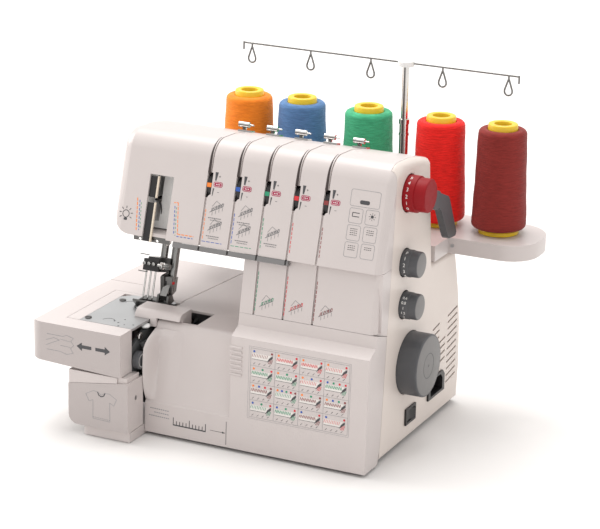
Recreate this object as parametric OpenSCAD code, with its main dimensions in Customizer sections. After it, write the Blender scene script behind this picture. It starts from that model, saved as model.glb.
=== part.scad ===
// Five-thread overlock and cover-stitch machine (serger) with free arm, sliding
// sewing table, opening looper cover and a telescopic thread stand.
// Millimetres. X runs to the right, Y to the back, Z up.
// The origin is on the floor, under the middle of the whole machine.

/* [Casing] */
// Width of the casing, from the head's left end to the right side
body_w = 245; // [220:1:300]
// Depth of the casing at the base, front cover to rear hump
body_d = 200; // [190:1:240]
// Height of the casing above the floor
body_h = 246.4; // [235:0.1:300]
// Thickness of the moulded walls
wall = 2.6; // [2:0.1:3.2]
// Visible gap between two mouldings
seam = 0.25; // [0.2:0.05:0.4]
// Height of the rubber feet below the casing
foot_h = 3; // [2:0.5:6]
// Radius where the front and top meet the right side
edge_r = 6; // [4:0.5:8]
// Radius where the head meets its left end
head_end_r = 9; // [6:0.5:12]

/* [Arm and column] */
// Height of the underside of the arm
arm_under = 164; // [155:1:172]
// How far the arm's lower front edge lies behind the front cover
arm_setback = 21.6; // [18:0.2:26]
// Depth of the arm at its underside
arm_d = 105.4; // [95:0.2:120]
// Lean of the head's face, needle bar and presser bar
face_lean = 16.6; // [12:0.1:20]
// Radius between the face and the top
top_r = 19; // [14:0.5:24]
// Radius of the head's lower left corner
head_corner_r = 18; // [12:1:24]
// Width of the column that carries the arm
column_w = 122; // [112:1:140]
// How far the foot of the column's face lies behind the front cover
column_setback = 17; // [15:0.5:22]
// Height of the rear hump under the thread stand
hump_h = 144.5; // [138:0.5:150]

/* [Thread channels] */
// Distance from the head's left end to the first thread channel
channel_first = 83.2; // [80:0.2:90]
// Distance between thread channels
channel_pitch = 26.2; // [24:0.1:28]
// Width of a thread channel
channel_w = 1.8; // [1.2:0.1:2.4]
// Depth of a thread channel
channel_depth = 1.7; // [1:0.1:2]
// Width of a tension window
window_w = 5; // [4.6:0.1:6]
// Height of a tension window, along the face
window_h = 20.5; // [18:0.5:22]
// Radius of a tension wheel
tension_r = 13; // [11:0.5:14]

/* [Head] */
// Distance from the head's left end to the take-up slot
slot_inset = 30; // [26:0.5:34]
// Width of the take-up slot
slot_w = 22; // [18:0.5:24]
// Height of the take-up slot, along the face
slot_h = 52; // [46:1:56]
// Distance from the head's left end to the needle bar
needle_inset = 20; // [19:0.5:21]
// Diameter of the needle bar
needle_bar_d = 6.4; // [6:0.1:7.2]
// Diameter of the presser bar
presser_bar_d = 7; // [6:0.1:8]
// Needle bar stroke, half of it each way from rest
needle_stroke = 26; // [22:1:28]

/* [Bed and table] */
// Height of the sewing surface
bed_h = 94; // [88:1:100]
// How far the table reaches past the head's left end
table_reach = 49; // [44:1:56]
// How far the table stands in front of the front cover
table_front = 28.5; // [26:0.5:32]
// Height of the table's skirt
skirt_h = 36; // [30:1:38]
// Width of the needle plate
plate_w = 49.6; // [46:0.2:54]
// Depth of the needle plate
plate_d = 76; // [74:1:80]
// Thickness of the needle plate
plate_t = 2; // [1.6:0.1:2.4]

/* [Controls] */
// Radius of the handwheel
handwheel_r = 26.3; // [24:0.1:28]
// How far the handwheel stands out
handwheel_out = 22; // [18:0.5:26]
// Height of the main shaft and the handwheel's centre
shaft_z = 72; // [70:0.5:76]
// Radius of the two grey dials
dial_r = 11.5; // [10:0.1:12.5]
// How far a grey dial stands out
dial_out = 16; // [12:0.5:20]
// Radius of the red dial's skirt
red_dial_r = 17.5; // [16:0.1:18.5]
// How far the red dial stands out
red_dial_out = 23; // [18:0.5:26]

/* [Thread stand] */
// Height of the stand's tray top above the floor
tray_top = 158.5; // [154:0.5:161]
// Thickness of the tray's rim
tray_h = 13.5; // [10:0.5:13.5]
// How far the tray reaches past the casing's right side
tray_reach = 71; // [66:1:80]
// How far the tray reaches past the casing's back
tray_back = 28; // [24:0.5:34]
// Height of a cone of thread
cone_h = 94; // [88:1:100]
// Largest radius of a cone of thread
cone_r = 23.2; // [20:0.2:24]
// Height of the wire guide above the floor
guide_z = 295; // [290:1:310]
// Diameter of the mast's upper tube
mast_d = 6; // [5:0.1:7]
// Diameter of the guide wire
wire_d = 1.6; // [1.4:0.1:2]

/* [Hidden] */
$fn = 48;

// Places that follow from the driving sizes.
right_x = (body_w + table_reach - tray_reach) / 2;
left_x = right_x - body_w;
front_y = (table_front - tray_back - body_d) / 2;
back_y = front_y + body_d;
base_z = foot_h;
gap = 0.3;
fit = 0.06;
col_x = right_x - column_w;
face_t = tan(face_lean);
arm_rear_y = front_y + arm_setback + arm_d;
rear_seam_y = arm_rear_y - 15;
top_c = [front_y + arm_setback + (body_h - top_r - arm_under) * face_t + top_r / cos(face_lean),
  body_h - top_r];

// The face, the rear wall, the column's face and the side seam as lines, Y over Z.
function face_y(z) = front_y + arm_setback + (z - arm_under) * face_t;
function rear_y(z) = arm_rear_y - (z - arm_under) * 0.12;
function column_y(z) = front_y + column_setback + (z - cover_top) * 0.19;
function side_seam_y(z) = front_y + 28.2 + (z - base_z) * 0.0845;
function channel_x(i) = left_x + channel_first + i * channel_pitch;
function arc(cx, cy, r, a0, a1, n = 6) =
  [for (i = [0:n]) let (a = a0 + (a1 - a0) * i / n) [cx + r * cos(a), cy + r * sin(a)]];

// Front cover.
cover_top = base_z + 112;
cover_slide = 8;
cover_x0 = left_x + 44.7;
hinge_y = front_y + 6;
hinge_z = base_z + 6.5;
hinge_r = 1.5;
bed_y0 = front_y + 57;
bed_y1 = front_y + 178;
crest_y = rear_y(body_h - 12);

// Outlines in the plane of the right side, as [Y, Z].
arm_top = concat([[face_y(arm_under), arm_under]],
  arc(top_c[0], top_c[1], top_r, 180 - face_lean, 90, 8),
  [[crest_y - 37, body_h - 1.1], [crest_y - 18, body_h - 4.7], [crest_y - 3, body_h - 8.6],
   [crest_y, body_h - 12]]);
arm_outline = concat(arm_top, [[arm_rear_y, arm_under]]);
tower_outline = concat(arm_top, [[rear_y(base_z), base_z], [side_seam_y(base_z) - 4, base_z]]);
hump_outline = concat(
  [[side_seam_y(base_z), base_z], [back_y - 3, base_z], [back_y - 1.6, base_z + 20],
   [back_y, base_z + 33], [back_y - 2, base_z + 71], [back_y - 7, base_z + 99],
   [back_y - 12.6, base_z + 120]],
  arc(back_y - 25.2, hump_h - 8, 8, 15, 90, 4),
  [[side_seam_y(hump_h), hump_h]]);

// Extrudes an outline of [Y, Z] points along X.
module along_x(x, length) {
  translate([x, 0, 0]) rotate([90, 0, 90]) linear_extrude(length) children();
}

// Extrudes an outline of [X, Z] points along Y.
module along_y(y, length) {
  translate([0, y + length, 0]) rotate([90, 0, 0]) linear_extrude(length) children();
}

// A rod along X, from x0 to x1.
module rod_x(x0, x1, y, z, r) {
  translate([x0, y, z]) rotate([0, 90, 0]) cylinder(h = x1 - x0, r = r);
}

// A rounded end of a convex outline: the outline shrinks along a quarter circle.
module round_end(x, dir, r, outline) {
  hull()
    for (a = [0:30:90])
      along_x(x + dir * (r * sin(a) - 0.02), 0.02) offset(delta = -r * (1 - cos(a))) polygon(outline);
}

// Moves to the head's face: X across, then up the lean, then into the head.
module on_face(x, s, depth = 0) {
  translate([x, face_y(arm_under), arm_under]) rotate([-face_lean, 0, 0]) translate([0, depth, s]) children();
}
function face_point(s, depth) = [front_y + arm_setback + s * sin(face_lean) + depth * cos(face_lean),
  arm_under + s * cos(face_lean) - depth * sin(face_lean)];

// The arm and head as one closed form, and the space inside it.
module head_view(inset) {
  rotate([90, 0, 0]) linear_extrude(3 * body_d, center = true) offset(delta = -inset)
    polygon(concat(arc(left_x + head_corner_r, arm_under + head_corner_r, head_corner_r, 180, 270, 8),
      [[right_x + 20, arm_under], [right_x + 20, body_h + 20], [left_x, body_h + 20]]));
}
module arm_form() {
  intersection() {
    union() {
      along_x(left_x + head_end_r, body_w - head_end_r - edge_r) polygon(arm_outline);
      round_end(left_x + head_end_r, -1, head_end_r, arm_outline);
      // Its lower edge stays sharp, so the outline runs on below before it is cut off.
      round_end(right_x - edge_r, 1, edge_r, concat([[face_y(arm_under - 12), arm_under - 12]], arm_top,
        [[arm_rear_y + 1.44, arm_under - 12]]));
    }
    head_view(0);
  }
}
module arm_cavity() {
  intersection() {
    along_x(left_x + 6, body_w - 6 - wall) offset(delta = -wall) polygon(arm_outline);
    head_view(wall);
  }
  // Open into the column.
  translate([col_x + wall, column_y(arm_under) + wall, arm_under - 1])
    cube([column_w - 2 * wall, arm_rear_y - column_y(arm_under) - 2 * wall, wall + 2]);
}

// All that lies in front of the side seam, in the last edge_r before the right side.
module side_front(z0, z1, back) {
  along_x(right_x - edge_r - 0.01, edge_r + 5)
    polygon([[front_y - 60, z0], [side_seam_y(z0) - back, z0], [side_seam_y(z1) - back, z1], [front_y - 60, z1]]);
}

// ---- base ----------------------------------------------------------

foot_places = [[left_x + 4, front_y - 8], [right_x - 18, front_y + 26], [right_x - 18, back_y - 20],
  [col_x + 16, back_y - 20], [left_x + 68, front_y + 26]];
foot_r = 9;
pan_h = 5;
block_x0 = left_x - 12;
block_x1 = left_x + 46;
block_y0 = front_y - table_front + 1;
pan_front = front_y + 14;
pan_x0 = cover_x0 + wall + cover_slide + 1;
lug_x = [pan_x0 + 2, right_x - 38];
lug_w = 5.6;

module base_pan() {
  x1 = right_x - edge_r;
  color("whitesmoke") difference() {
    union() {
      translate([0, 0, base_z]) linear_extrude(pan_h)
        polygon([[pan_x0, pan_front], [x1, pan_front], [x1, back_y - wall - 4],
          [col_x + wall + gap, back_y - wall - 4], [col_x + wall + gap, front_y + 155.9],
          [col_x - gap, front_y + 155.9], [col_x - gap, bed_y1], [bed_x(bed_y1), bed_y1],
          [bed_x(bed_y0), bed_y0], [block_x1 - 4, bed_y0], [block_x1 - 4, front_y + 28], [pan_x0, front_y + 28]]);
      // Foot of the block under the free arm.
      translate([0, 0, base_z - 2.4]) linear_extrude(8.4)
        polygon(concat(arc(block_x0 + 16, block_y0 + 8, 5, 180, 270, 4),
          [[block_x1 - 1.7, block_y0 + 3], [block_x1 - 1.7, front_y + 56], [block_x0 + 11, front_y + 56]]));
      // Lugs that the front cover's hinge bar slides in.
      for (x = lug_x)
        along_x(x, lug_w) {
          translate([hinge_y, hinge_z]) circle(r = hinge_r + 1.6);
          translate([hinge_y, hinge_z - hinge_r - 1.6]) square([pan_front - hinge_y + 4, 2 * hinge_r + 3.2]);
        }
    }
    for (p = foot_places)
      translate([p[0], p[1], base_z - 3]) cylinder(h = 3 + 1.5, r = foot_r + 0.2);
    for (x = lug_x) rod_x(x - 1, x + lug_w + 1, hinge_y, hinge_z, hinge_r + fit);
  }
}

module rubber_feet() {
  color("dimgray") for (p = foot_places)
    translate([p[0], p[1], 0]) {
      cylinder(h = base_z, r1 = foot_r - 1, r2 = foot_r);
      translate([0, 0, base_z - 0.01]) cylinder(h = 1.41, r = foot_r);
    }
}

// ---- casings -------------------------------------------------------

window_low = 40;
window_shift = 0.4;
clip_y = rear_seam_y - 8;
wheel_s = window_low + window_h / 2;
wheel_depth = tension_r + 0.5;
wheel_w = window_w - 1;
wheel_pin_r = 2;
// The panel's rounded corner below a window ends short of the wheel's rim.
window_round = 3;
corner_top = window_h / 2 - sqrt(pow(tension_r, 2) - pow(wheel_depth - wall, 2)) - 0.5;

// A thread channel, its tension window and the thin slit over the top.
module channel_cut(x) {
  on_face(x - channel_w / 2, -1, -1) cube([channel_w, channel_depth + 1, window_low + 6]);
  on_face(x - channel_w / 2 - window_shift, window_low, -1) difference() {
    cube([window_w, wall + 2, window_h]);
    translate([window_w + 0.6, -1, corner_top - window_round]) rotate([-90, 0, 0])
      cylinder(h = wall + 4, r = window_round);
  }
  intersection() {
    along_x(x + 1.4, 1.1) difference() {
      offset(delta = 1) polygon(arm_outline);
      offset(delta = -channel_depth) polygon(arm_outline);
    }
    translate([left_x, front_y, arm_under + (window_low + window_h - 1) * cos(face_lean)])
      cube([body_w, clip_y - 6 - front_y, body_h]);
  }
}

// Two ears behind a window, that carry the pin of its tension wheel.
module wheel_ears(x) {
  for (side = [-1, 1])
    on_face(x + side * (wheel_w / 2 + 1.4) - 0.8, wheel_s, wall - 0.01) difference() {
      translate([0, 0, -5]) cube([1.6, wheel_depth - wall + 4, 10]);
      translate([-1, wheel_depth - wall, 0]) rotate([0, 90, 0]) cylinder(h = 4, r = wheel_pin_r + fit);
    }
}
function wheel_x(i) = channel_x(i) - channel_w / 2 - window_shift + window_w / 2;

slot_x = left_x + slot_inset;
needle_x = left_x + needle_inset;
presser_x = needle_x + 10.5;
bar_depth = 64;
needle_depth = bar_depth - 13;

module front_casing() {
  color("whitesmoke") {
    difference() {
      intersection() {
        arm_form();
        union() {
          translate([left_x - 1, front_y - 5, arm_under - 1])
            cube([body_w - edge_r + 1, rear_seam_y - front_y + 5, body_h]);
          side_front(arm_under - 1, body_h + 5, 0);
        }
      }
      arm_cavity();
      for (i = [0:4]) channel_cut(channel_x(i));
      // Take-up slot, open at the bottom, and the opening for the two bars.
      on_face(slot_x, -6, -1) cube([slot_w, wall + 2, slot_h + 6]);
      translate([left_x + 8, face_y(arm_under) + 30, arm_under - 1]) cube([36, 90, wall + 2]);
    }
    for (i = [0:4]) wheel_ears(wheel_x(i));
  }
}

module column_casing() {
  z0 = cover_top + seam;
  z1 = arm_under - seam;
  back = rear_seam_y - 55;
  color("whitesmoke") difference() {
    union() {
      along_x(col_x, column_w - edge_r)
        polygon([[column_y(z0), z0], [back, z0], [back, z1], [column_y(z1), z1]]);
      intersection() {
        round_end(right_x - edge_r, 1, edge_r - 2, [[column_y(z0 - 9), z0 - 9], [back, z0 - 9], [back, z1 + 9],
          [column_y(z1 + 9), z1 + 9]]);
        side_front(z0, z1, 0);
      }
      intersection() {
        translate([right_x - edge_r - 0.01, column_y(z0) + 8, z0]) cube([edge_r, 40, z1 - z0]);
        side_front(z0, z1, 0);
      }
    }
    along_x(col_x + wall, column_w - 2 * wall)
      polygon([[column_y(z0) + wall, z0 - 1], [back + 1, z0 - 1], [back + 1, z1 + 1], [column_y(z1) + wall, z1 + 1]]);
    for (i = [2:4])
      along_x(channel_x(i) - channel_w / 2, channel_w)
        polygon([[column_y(z0) - 1, z0 - 1], [column_y(z0) + channel_depth, z0 - 1],
          [column_y(z1) + channel_depth, z1 + 1], [column_y(z1) - 1, z1 + 1]]);
  }
}

// Seats of the controls on the right side, as [Y, Z].
hand_y = front_y + 84;
red_place = [front_y + 73, body_h - 27.4];
stitch_place = [front_y + 69, body_h - 84.4];
feed_place = [front_y + 70, body_h - 120.4];
lever_place = [front_y + 106, body_h - 40.4];
switch_place = [front_y + 89, base_z + 22];
inlet_place = [front_y + 143.2, base_z + 29.7];
control_gap = 0.6;

module side_hole(p, r) {
  translate([right_x - 20, p[0], p[1]]) rotate([0, 90, 0]) cylinder(h = 30, r = r);
}

// Cooling slots: a short column and a long one, with a round boss between them.
module vents() {
  for (i = [0:10]) {
    z = base_z + 23 + 6 * i;
    translate([right_x - 12, front_y + 167, z]) rotate([8, 0, 0]) cube([20, 21, 1.8]);
    if (i > 3)
      translate([right_x - 12, front_y + 134, z - 3]) rotate([8, 0, 0])
        cube([20, i > 7 ? 15 : 29, 1.8]);
  }
}

module right_casing() {
  x0 = right_x - edge_r + seam;
  color("seashell") difference() {
    union() {
      round_end(right_x - edge_r, 1, edge_r, hump_outline);
      round_end(right_x - edge_r, 1, edge_r, tower_outline);
    }
    side_front(base_z - 5, body_h + 10, -seam);
    translate([x0 - 20, front_y - 50, -1]) cube([20, 2 * body_d, 2 * body_h]);
    along_x(x0 - 1, right_x - wall - x0 + 1) {
      offset(delta = -wall) polygon(tower_outline);
      offset(delta = -wall) polygon(hump_outline);
      polygon([[side_seam_y(20), base_z - 5], [back_y - wall - 3, base_z - 5], [back_y - wall - 3, base_z + 10],
        [side_seam_y(20), base_z + 10]]);
    }
    side_hole(red_place, red_dial_r + control_gap);
    side_hole(stitch_place, dial_r + control_gap);
    side_hole(feed_place, dial_r + control_gap);
    side_hole([hand_y, shaft_z], handwheel_r + control_gap);
    side_hole(lever_place, 4 + fit);
    translate([right_x - 10, switch_place[0] - 9.8, switch_place[1] - 6.6]) cube([20, 19.6, 13.2]);
    translate([right_x - 10, inlet_place[0] - 16.4, inlet_place[1] - 8.4]) cube([20, 32.8, 16.8]);
    vents();
  }
}

module rear_casing() {
  front = rear_seam_y - 55 + seam;
  x1 = right_x - edge_r;
  color("whitesmoke") difference() {
    union() {
      intersection() {
        arm_form();
        translate([left_x - 1, rear_seam_y + seam, arm_under - 1]) cube([x1 - left_x + 1, body_d, body_h]);
      }
      along_x(col_x, column_w - edge_r) intersection() {
        union() {
          polygon(hump_outline);
          polygon([[front, cover_top + seam], [rear_y(cover_top), cover_top + seam], [rear_y(arm_under), arm_under + 0.01],
            [rear_seam_y + seam, arm_under + 0.01], [rear_seam_y + seam, arm_under - seam], [front, arm_under - seam]]);
        }
        translate([front, base_z]) square([body_d, body_h]);
      }
    }
    arm_cavity();
    along_x(col_x + wall, column_w) {
      offset(delta = -wall) polygon(hump_outline);
      polygon([[front - 1, base_z - 1], [back_y - wall - 3, base_z - 1], [back_y - wall - 3, base_z + 10], [front - 1, base_z + 10]]);
      polygon([[front - 1, 90], [rear_y(100) - wall, 90], [rear_y(arm_under) - wall, arm_under + wall + 0.1], [front - 1, arm_under + wall + 0.1]]);
    }
    // Way from the column into the bed for the shafts.
    translate([col_x - 1, front - 1, base_z - 1]) cube([wall + 2, 100, bed_h - base_z - 3]);
    // Seat of the mast in the hump's roof.
    translate([mast_x, mast_y, hump_h - 20]) cylinder(h = 30, r = 7);
  }
}

// ---- bed, free arm and sewing table --------------------------------

plate_x0 = left_x + 38 - plate_w;
plate_x1 = left_x + 38;
plate_y0 = front_y - 9;
plate_y1 = plate_y0 + plate_d;
arm_x0 = plate_x0 - 12;
arm_y1 = plate_y1 + 5;
arm_floor = bed_h - 35;
function bed_x(y) = left_x + 42 + (y - front_y - 84) * 0.101;
function block_top(x) = base_z + 41.5 + (x - block_x0) * 0.15;

bed_left = plate_x1 + 3.5 + gap;

module bed_outline(inset) {
  open = inset > 0 ? 5 : 0;
  polygon([[bed_left + inset, bed_y0 - open], [bed_left + inset, arm_y1 + gap],
    [bed_x(arm_y1) + inset, arm_y1 + gap + inset], [bed_x(bed_y1) + inset, bed_y1 - inset],
    [col_x + (inset > 0 ? 5 : -seam), bed_y1 - inset], [col_x + (inset > 0 ? 5 : -seam), bed_y0 - open]]);
}

module bed_casing() {
  color("whitesmoke") difference() {
    translate([0, 0, base_z + pan_h + gap]) linear_extrude(bed_h - base_z - pan_h - gap) bed_outline(0);
    translate([0, 0, base_z]) linear_extrude(bed_h - base_z - wall) bed_outline(wall);
  }
}

module free_arm_casing() {
  x1 = plate_x1 + 3.5;
  color("whitesmoke") difference() {
    union() {
      translate([arm_x0, plate_y0, arm_floor]) cube([x1 - arm_x0, arm_y1 - plate_y0, bed_h - arm_floor]);
      // Lower housing, above the block cover.
      along_y(block_y0 + 0.4, plate_y0 - block_y0 + 36)
        polygon([[block_x0 + 0.5, block_top(block_x0) + seam], [block_x1 - 12, block_top(block_x1 - 12) + seam],
          [block_x1 - 12, arm_floor - 2.5], [block_x0 + 0.5, arm_floor - 2.5]]);
      translate([block_x0 + 0.5, plate_y0, arm_floor - 3]) cube([block_x1 - 12 - block_x0, 36, 4]);
    }
    // Inside of the arm, open to the right where the loopers work.
    translate([arm_x0 + wall, plate_y0 + wall, arm_floor + wall])
      cube([x1 - arm_x0, arm_y1 - plate_y0 - 2 * wall, bed_h - arm_floor - plate_t - wall - 2]);
    // Seat of the needle plate and the opening under it.
    translate([plate_x0 - seam, plate_y0 - 1, bed_h - plate_t]) cube([80, plate_y1 - plate_y0 + 1 + seam, plate_t + 1]);
    translate([plate_x0 + 5, plate_y0 + 6, bed_h - 12]) cube([80, plate_d - 8, 12]);
    translate([block_x1 - 12, plate_y0 - 1, arm_floor - 5]) cube([30, plate_d, bed_h]);
    for (p = plate_screws) translate([p[0], p[1], bed_h - 10]) cylinder(h = 12, r = 1.7);
    // Space in the lower housing.
    translate([block_x0 + 3, block_y0 + 3, base_z + 20]) cube([block_x1 - block_x0 - 14.5, 120, arm_floor - base_z - 26]);
  }
}

module block_cover() {
  color("whitesmoke") difference() {
    along_y(block_y0, front_y - block_y0 + 36)
      polygon(concat(arc(block_x0 + 8, base_z + 14.4, 8, 180, 270, 4),
        [[block_x1 - 1.7, base_z + 6.4], [block_x1 - 1.7, block_top(block_x1 - 1.7)], [block_x0, block_top(block_x0)]]));
    translate([block_x0 + wall, block_y0 + wall, base_z]) cube([block_x1 - block_x0 - 1.7 - 2 * wall, 120, 90]);
    translate([block_x1 - 10, front_y - 2, base_z]) cube([30, 60, 90]);
    // Screw hole in the right face.
    rod_x(block_x1 - 8, block_x1 + 1, front_y - 14, base_z + 34, 2.1);
  }
}

// Needle slot, feed slots and screw holes.
feed_x = [needle_x - 5.5, needle_x + 2.5];
feed_rows = [[-14, 9], [4, 7]];
needle_y = face_point(0, needle_depth)[0] + (bed_h - face_point(0, needle_depth)[1]) * face_t;
plate_screws = [[plate_x0 + 3.6, plate_y0 + 8], [plate_x0 + 6.6, plate_y1 - 16]];

module needle_plate() {
  color("silver") translate([0, 0, bed_h - plate_t]) difference() {
    linear_extrude(plate_t) difference() {
      polygon([[plate_x0, plate_y0], [plate_x1, plate_y0], [plate_x1, plate_y1],
        [plate_x0 + 8, plate_y1], [plate_x0, plate_y1 - 8]]);
      translate([needle_x - 9, needle_y - 2.6]) square([14, 5]);
      for (x = feed_x, row = feed_rows) translate([x - 1.9, needle_y + row[0]]) square([3.8, row[1]]);
      // Way of the upper looper and the knives.
      translate([plate_x1 - 7, needle_y - 14]) square([9, 22]);
    }
    for (p = plate_screws) translate([p[0], p[1], -1]) cylinder(h = 5, r = 1.7);
  }
}

table_x0 = left_x - table_reach;
table_y0 = front_y - table_front;
table_y1 = front_y + 173;
table_gap = 0.4;
function skirt_z(x) = bed_h - skirt_h + 3 - (x - table_x0) * 0.045;

module table_outline(inset) {
  offset(delta = -inset) difference() {
    polygon(concat(
      arc(table_x0 + 12, table_y0 + 12, 12, 180, 270, 5),
      [[plate_x1, table_y0], [plate_x1, plate_y0 - table_gap], [arm_x0 - table_gap, plate_y0 - table_gap],
       [arm_x0 - table_gap, arm_y1 + table_gap], [bed_x(arm_y1) - gap, arm_y1 + table_gap],
       [bed_x(table_y1) - gap, table_y1]],
      arc(table_x0 + 24, table_y1 - 16, 16, 90, 150, 5)));
  }
}

module sewing_table() {
  color("whitesmoke") difference() {
    intersection() {
      translate([0, 0, bed_h - skirt_h - 6]) linear_extrude(skirt_h + 6) table_outline(0);
      along_y(table_y0 - 1, table_y1 - table_y0 + 2)
        polygon([[table_x0 - 1, skirt_z(table_x0)], [plate_x1 + 20, skirt_z(plate_x1 + 20)],
          [plate_x1 + 20, bed_h], [table_x0 + 4, bed_h], [table_x0 - 1, bed_h - 5]]);
    }
    translate([0, 0, bed_h - skirt_h - 7]) linear_extrude(skirt_h + 7 - wall) table_outline(wall - 0.2);
    // Joint of the lid over the accessory box.
    translate([table_x0 - 1, arm_y1 + 23, bed_h - 0.6]) cube([arm_x0 - table_x0 + 14, 0.6, 1]);
  }
}

// ---- front cover ---------------------------------------------------

ledge_low = bed_h + 5;
ledge_high = bed_h + 11;
ledge_x0 = left_x + 80;
cap_x0 = left_x + 24;
cap_x1 = left_x + 66;
hinge_knuckles = [cover_x0 + 20, cover_x0 + 90, right_x - 30];
knuckle_w = 12;

raised_outline = [[front_y, base_z], [front_y + 3.7, ledge_low], [front_y + 15.7, ledge_high],
  [column_y(cover_top), cover_top], [side_seam_y(cover_top - 6) - seam, cover_top - 6],
  [side_seam_y(base_z + 12) - seam, base_z + 12], [side_seam_y(base_z) - seam - 3, base_z]];
low_outline = [[front_y, base_z], [front_y + 1, base_z + 26], [front_y + 2.6, base_z + 27.5],
  [front_y + 21, bed_h - 5], [front_y + 23, bed_h - 1.4], [front_y + 26, bed_h],
  [bed_y0 - gap, bed_h], [bed_y0 - gap, bed_h - wall], [front_y + 30, bed_h - wall], [front_y + 28, base_z]];

module front_cover() {
  color("whitesmoke") {
    difference() {
      union() {
        along_x(col_x, column_w) polygon(raised_outline);
        along_x(ledge_x0, col_x - ledge_x0 + 0.01) polygon(low_outline);
        along_x(cover_x0, ledge_x0 - cover_x0 + 0.01) intersection() {
          polygon(low_outline);
          translate([front_y - 1, 0]) square([27, bed_h]);
        }
        // Thumb rest beside the left edge.
        hull() {
          translate([cover_x0 + 7, front_y + 12, base_z + 48]) sphere(r = 3.4, $fn = 20);
          translate([cover_x0 + 4, front_y + 18.5, base_z + 79]) sphere(r = 3.4, $fn = 20);
          translate([cover_x0 + 16, front_y + 19.5, base_z + 79]) sphere(r = 3.4, $fn = 20);
          translate([cover_x0 + 12, front_y + 24, base_z + 79]) sphere(r = 3.4, $fn = 20);
        }
      }
      // Inside, open to the back.
      along_x(col_x + wall, column_w - 2 * wall)
        polygon([[front_y + wall, base_z - 1], [front_y + 3.7 + wall, ledge_low - 1.6],
          [front_y + 15.7 + wall, ledge_high - 1.6], [column_y(cover_top) + wall, cover_top - wall],
          [front_y + 60, cover_top - wall - 8], [front_y + 60, base_z - 1]]);
      along_x(cover_x0 + wall, col_x - cover_x0 + 1)
        polygon([[front_y + wall, base_z - 1], [front_y + 1 + wall, base_z + 26 - 2], [front_y + 2.6 + wall, base_z + 25.5],
          [front_y + 21 + wall, bed_h - 6], [front_y + 23 + wall, bed_h - wall], [front_y + 60, bed_h - wall], [front_y + 60, base_z - 1]]);
    }
    // Grip ribs.
    for (i = [0:6])
      rod_x(col_x - 0.5, col_x + 10, front_y + 3.4 - 0.04 * (i * 3.8 + 5), ledge_low - 9 - i * 3.8, 1);
    // Hinge knuckles.
    for (x = hinge_knuckles)
      difference() {
        union() {
          rod_x(x, x + knuckle_w, hinge_y, hinge_z, hinge_r + 1.6);
          translate([x, front_y + 1.2, hinge_z - 1.6]) cube([knuckle_w, hinge_y - front_y - 1.2, 3.2]);
        }
        rod_x(x - 1, x + knuckle_w + 1, hinge_y, hinge_z, hinge_r + fit);
      }
  }
}

// Slides in two lugs of the pan and carries the cover's knuckles.
module cover_hinge() {
  color("gray") rod_x(cover_x0 + 6, right_x - 8, hinge_y, hinge_z, hinge_r);
}

// Cap beside the needle plate, clipped over the plate's right end.
module looper_cap() {
  y0 = front_y + 20;
  y1 = front_y + 41.5;
  color("whitesmoke") difference() {
    along_x(cap_x0, cap_x1 - cap_x0)
      polygon(concat([[y0, bed_h - 6]], arc(y0 + 8, bed_h - 1, 8, 180, 90, 6), [[y1, bed_h + 7], [y1, bed_h - 6]]));
    along_x(cap_x0 + wall, cap_x1 - cap_x0 - 2 * wall)
      polygon(concat([[y0 + wall, bed_h - 7]], arc(y0 + 8, bed_h - 1, 8 - wall, 180, 90, 6),
        [[y1 - wall, bed_h + 7 - wall], [y1 - wall, bed_h - 7]]));
    translate([cap_x0 - 1, y0 - 1, bed_h - 10]) cube([plate_x1 + gap + 1.2 - cap_x0, 50, 10.05]);
    // Clear of the cover's top edge as it swings.
    translate([cover_x0 - gap, y0 - 5, bed_h - 10]) cube([80, 11 + gap, 11.6]);
  }
}

// ---- thread stand --------------------------------------------------

mast_x = right_x - 56;
mast_y = back_y - 10;
cone_y = back_y - 5;
cone_x = [left_x + 40, left_x + 91, left_x + 154, right_x - 24.5, right_x + 31];
tray_y0 = arm_rear_y + 4;
tray_y1 = back_y + tray_back;
tray_x0 = left_x + 8;
tray_x1 = right_x + tray_reach;
tray_nose_y = front_y + 160;
pin_r = 3;
mast_seam_z = tray_top + 88;

module tray_outline(inset) {
  offset(delta = -inset)
    polygon(concat(
      arc(tray_x0 + 26, tray_y0 + 26, 26, 180, 270, 6),
      [[right_x + gap, tray_y0], [right_x + gap, tray_nose_y]],
      arc(tray_x1 - 26, tray_nose_y + 26, 26, 270, 360, 6),
      arc(tray_x1 - 30, tray_y1 - 30, 30, 0, 90, 6),
      arc(tray_x0 + 30, tray_y1 - 30, 30, 90, 180, 6)));
}

module spool_tray() {
  color("whitesmoke") difference() {
    union() {
      difference() {
        translate([0, 0, tray_top - tray_h]) linear_extrude(tray_h) tray_outline(0);
        translate([0, 0, tray_top - tray_h - 1]) linear_extrude(tray_h + 1 - wall) tray_outline(wall);
      }
      for (x = cone_x) translate([x, cone_y, tray_top - tray_h]) cylinder(h = tray_h, r = 6);
      translate([mast_x, mast_y, tray_top - tray_h]) cylinder(h = tray_h, r = 9);
    }
    for (x = cone_x) translate([x, cone_y, tray_top - 10]) cylinder(h = 12, r = pin_r + fit);
    translate([mast_x, mast_y, tray_top - tray_h - 1]) cylinder(h = tray_h + 2, r = mast_d / 2 + 1 + fit);
  }
}

module spool_pins() {
  color("whitesmoke") for (x = cone_x)
    translate([x, cone_y, tray_top - 9.5]) {
      cylinder(h = 80, r = pin_r);
      translate([0, 0, 9.5 + gap]) cylinder(h = 14, r = 6.4);
    }
}

module mast_tube_lower() {
  r = mast_d / 2 + 1;
  color("silver") translate([mast_x, mast_y, tray_top - 24]) difference() {
    union() {
      cylinder(h = mast_seam_z - tray_top + 24, r = r);
      translate([0, 0, mast_seam_z - tray_top + 10]) cylinder(h = 2, r = r + 0.5);
      translate([0, 0, mast_seam_z - tray_top + 20]) cylinder(h = 4, r = r + 0.6);
    }
    translate([0, 0, 2]) cylinder(h = 300, r = mast_d / 2 + fit);
  }
}

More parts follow.
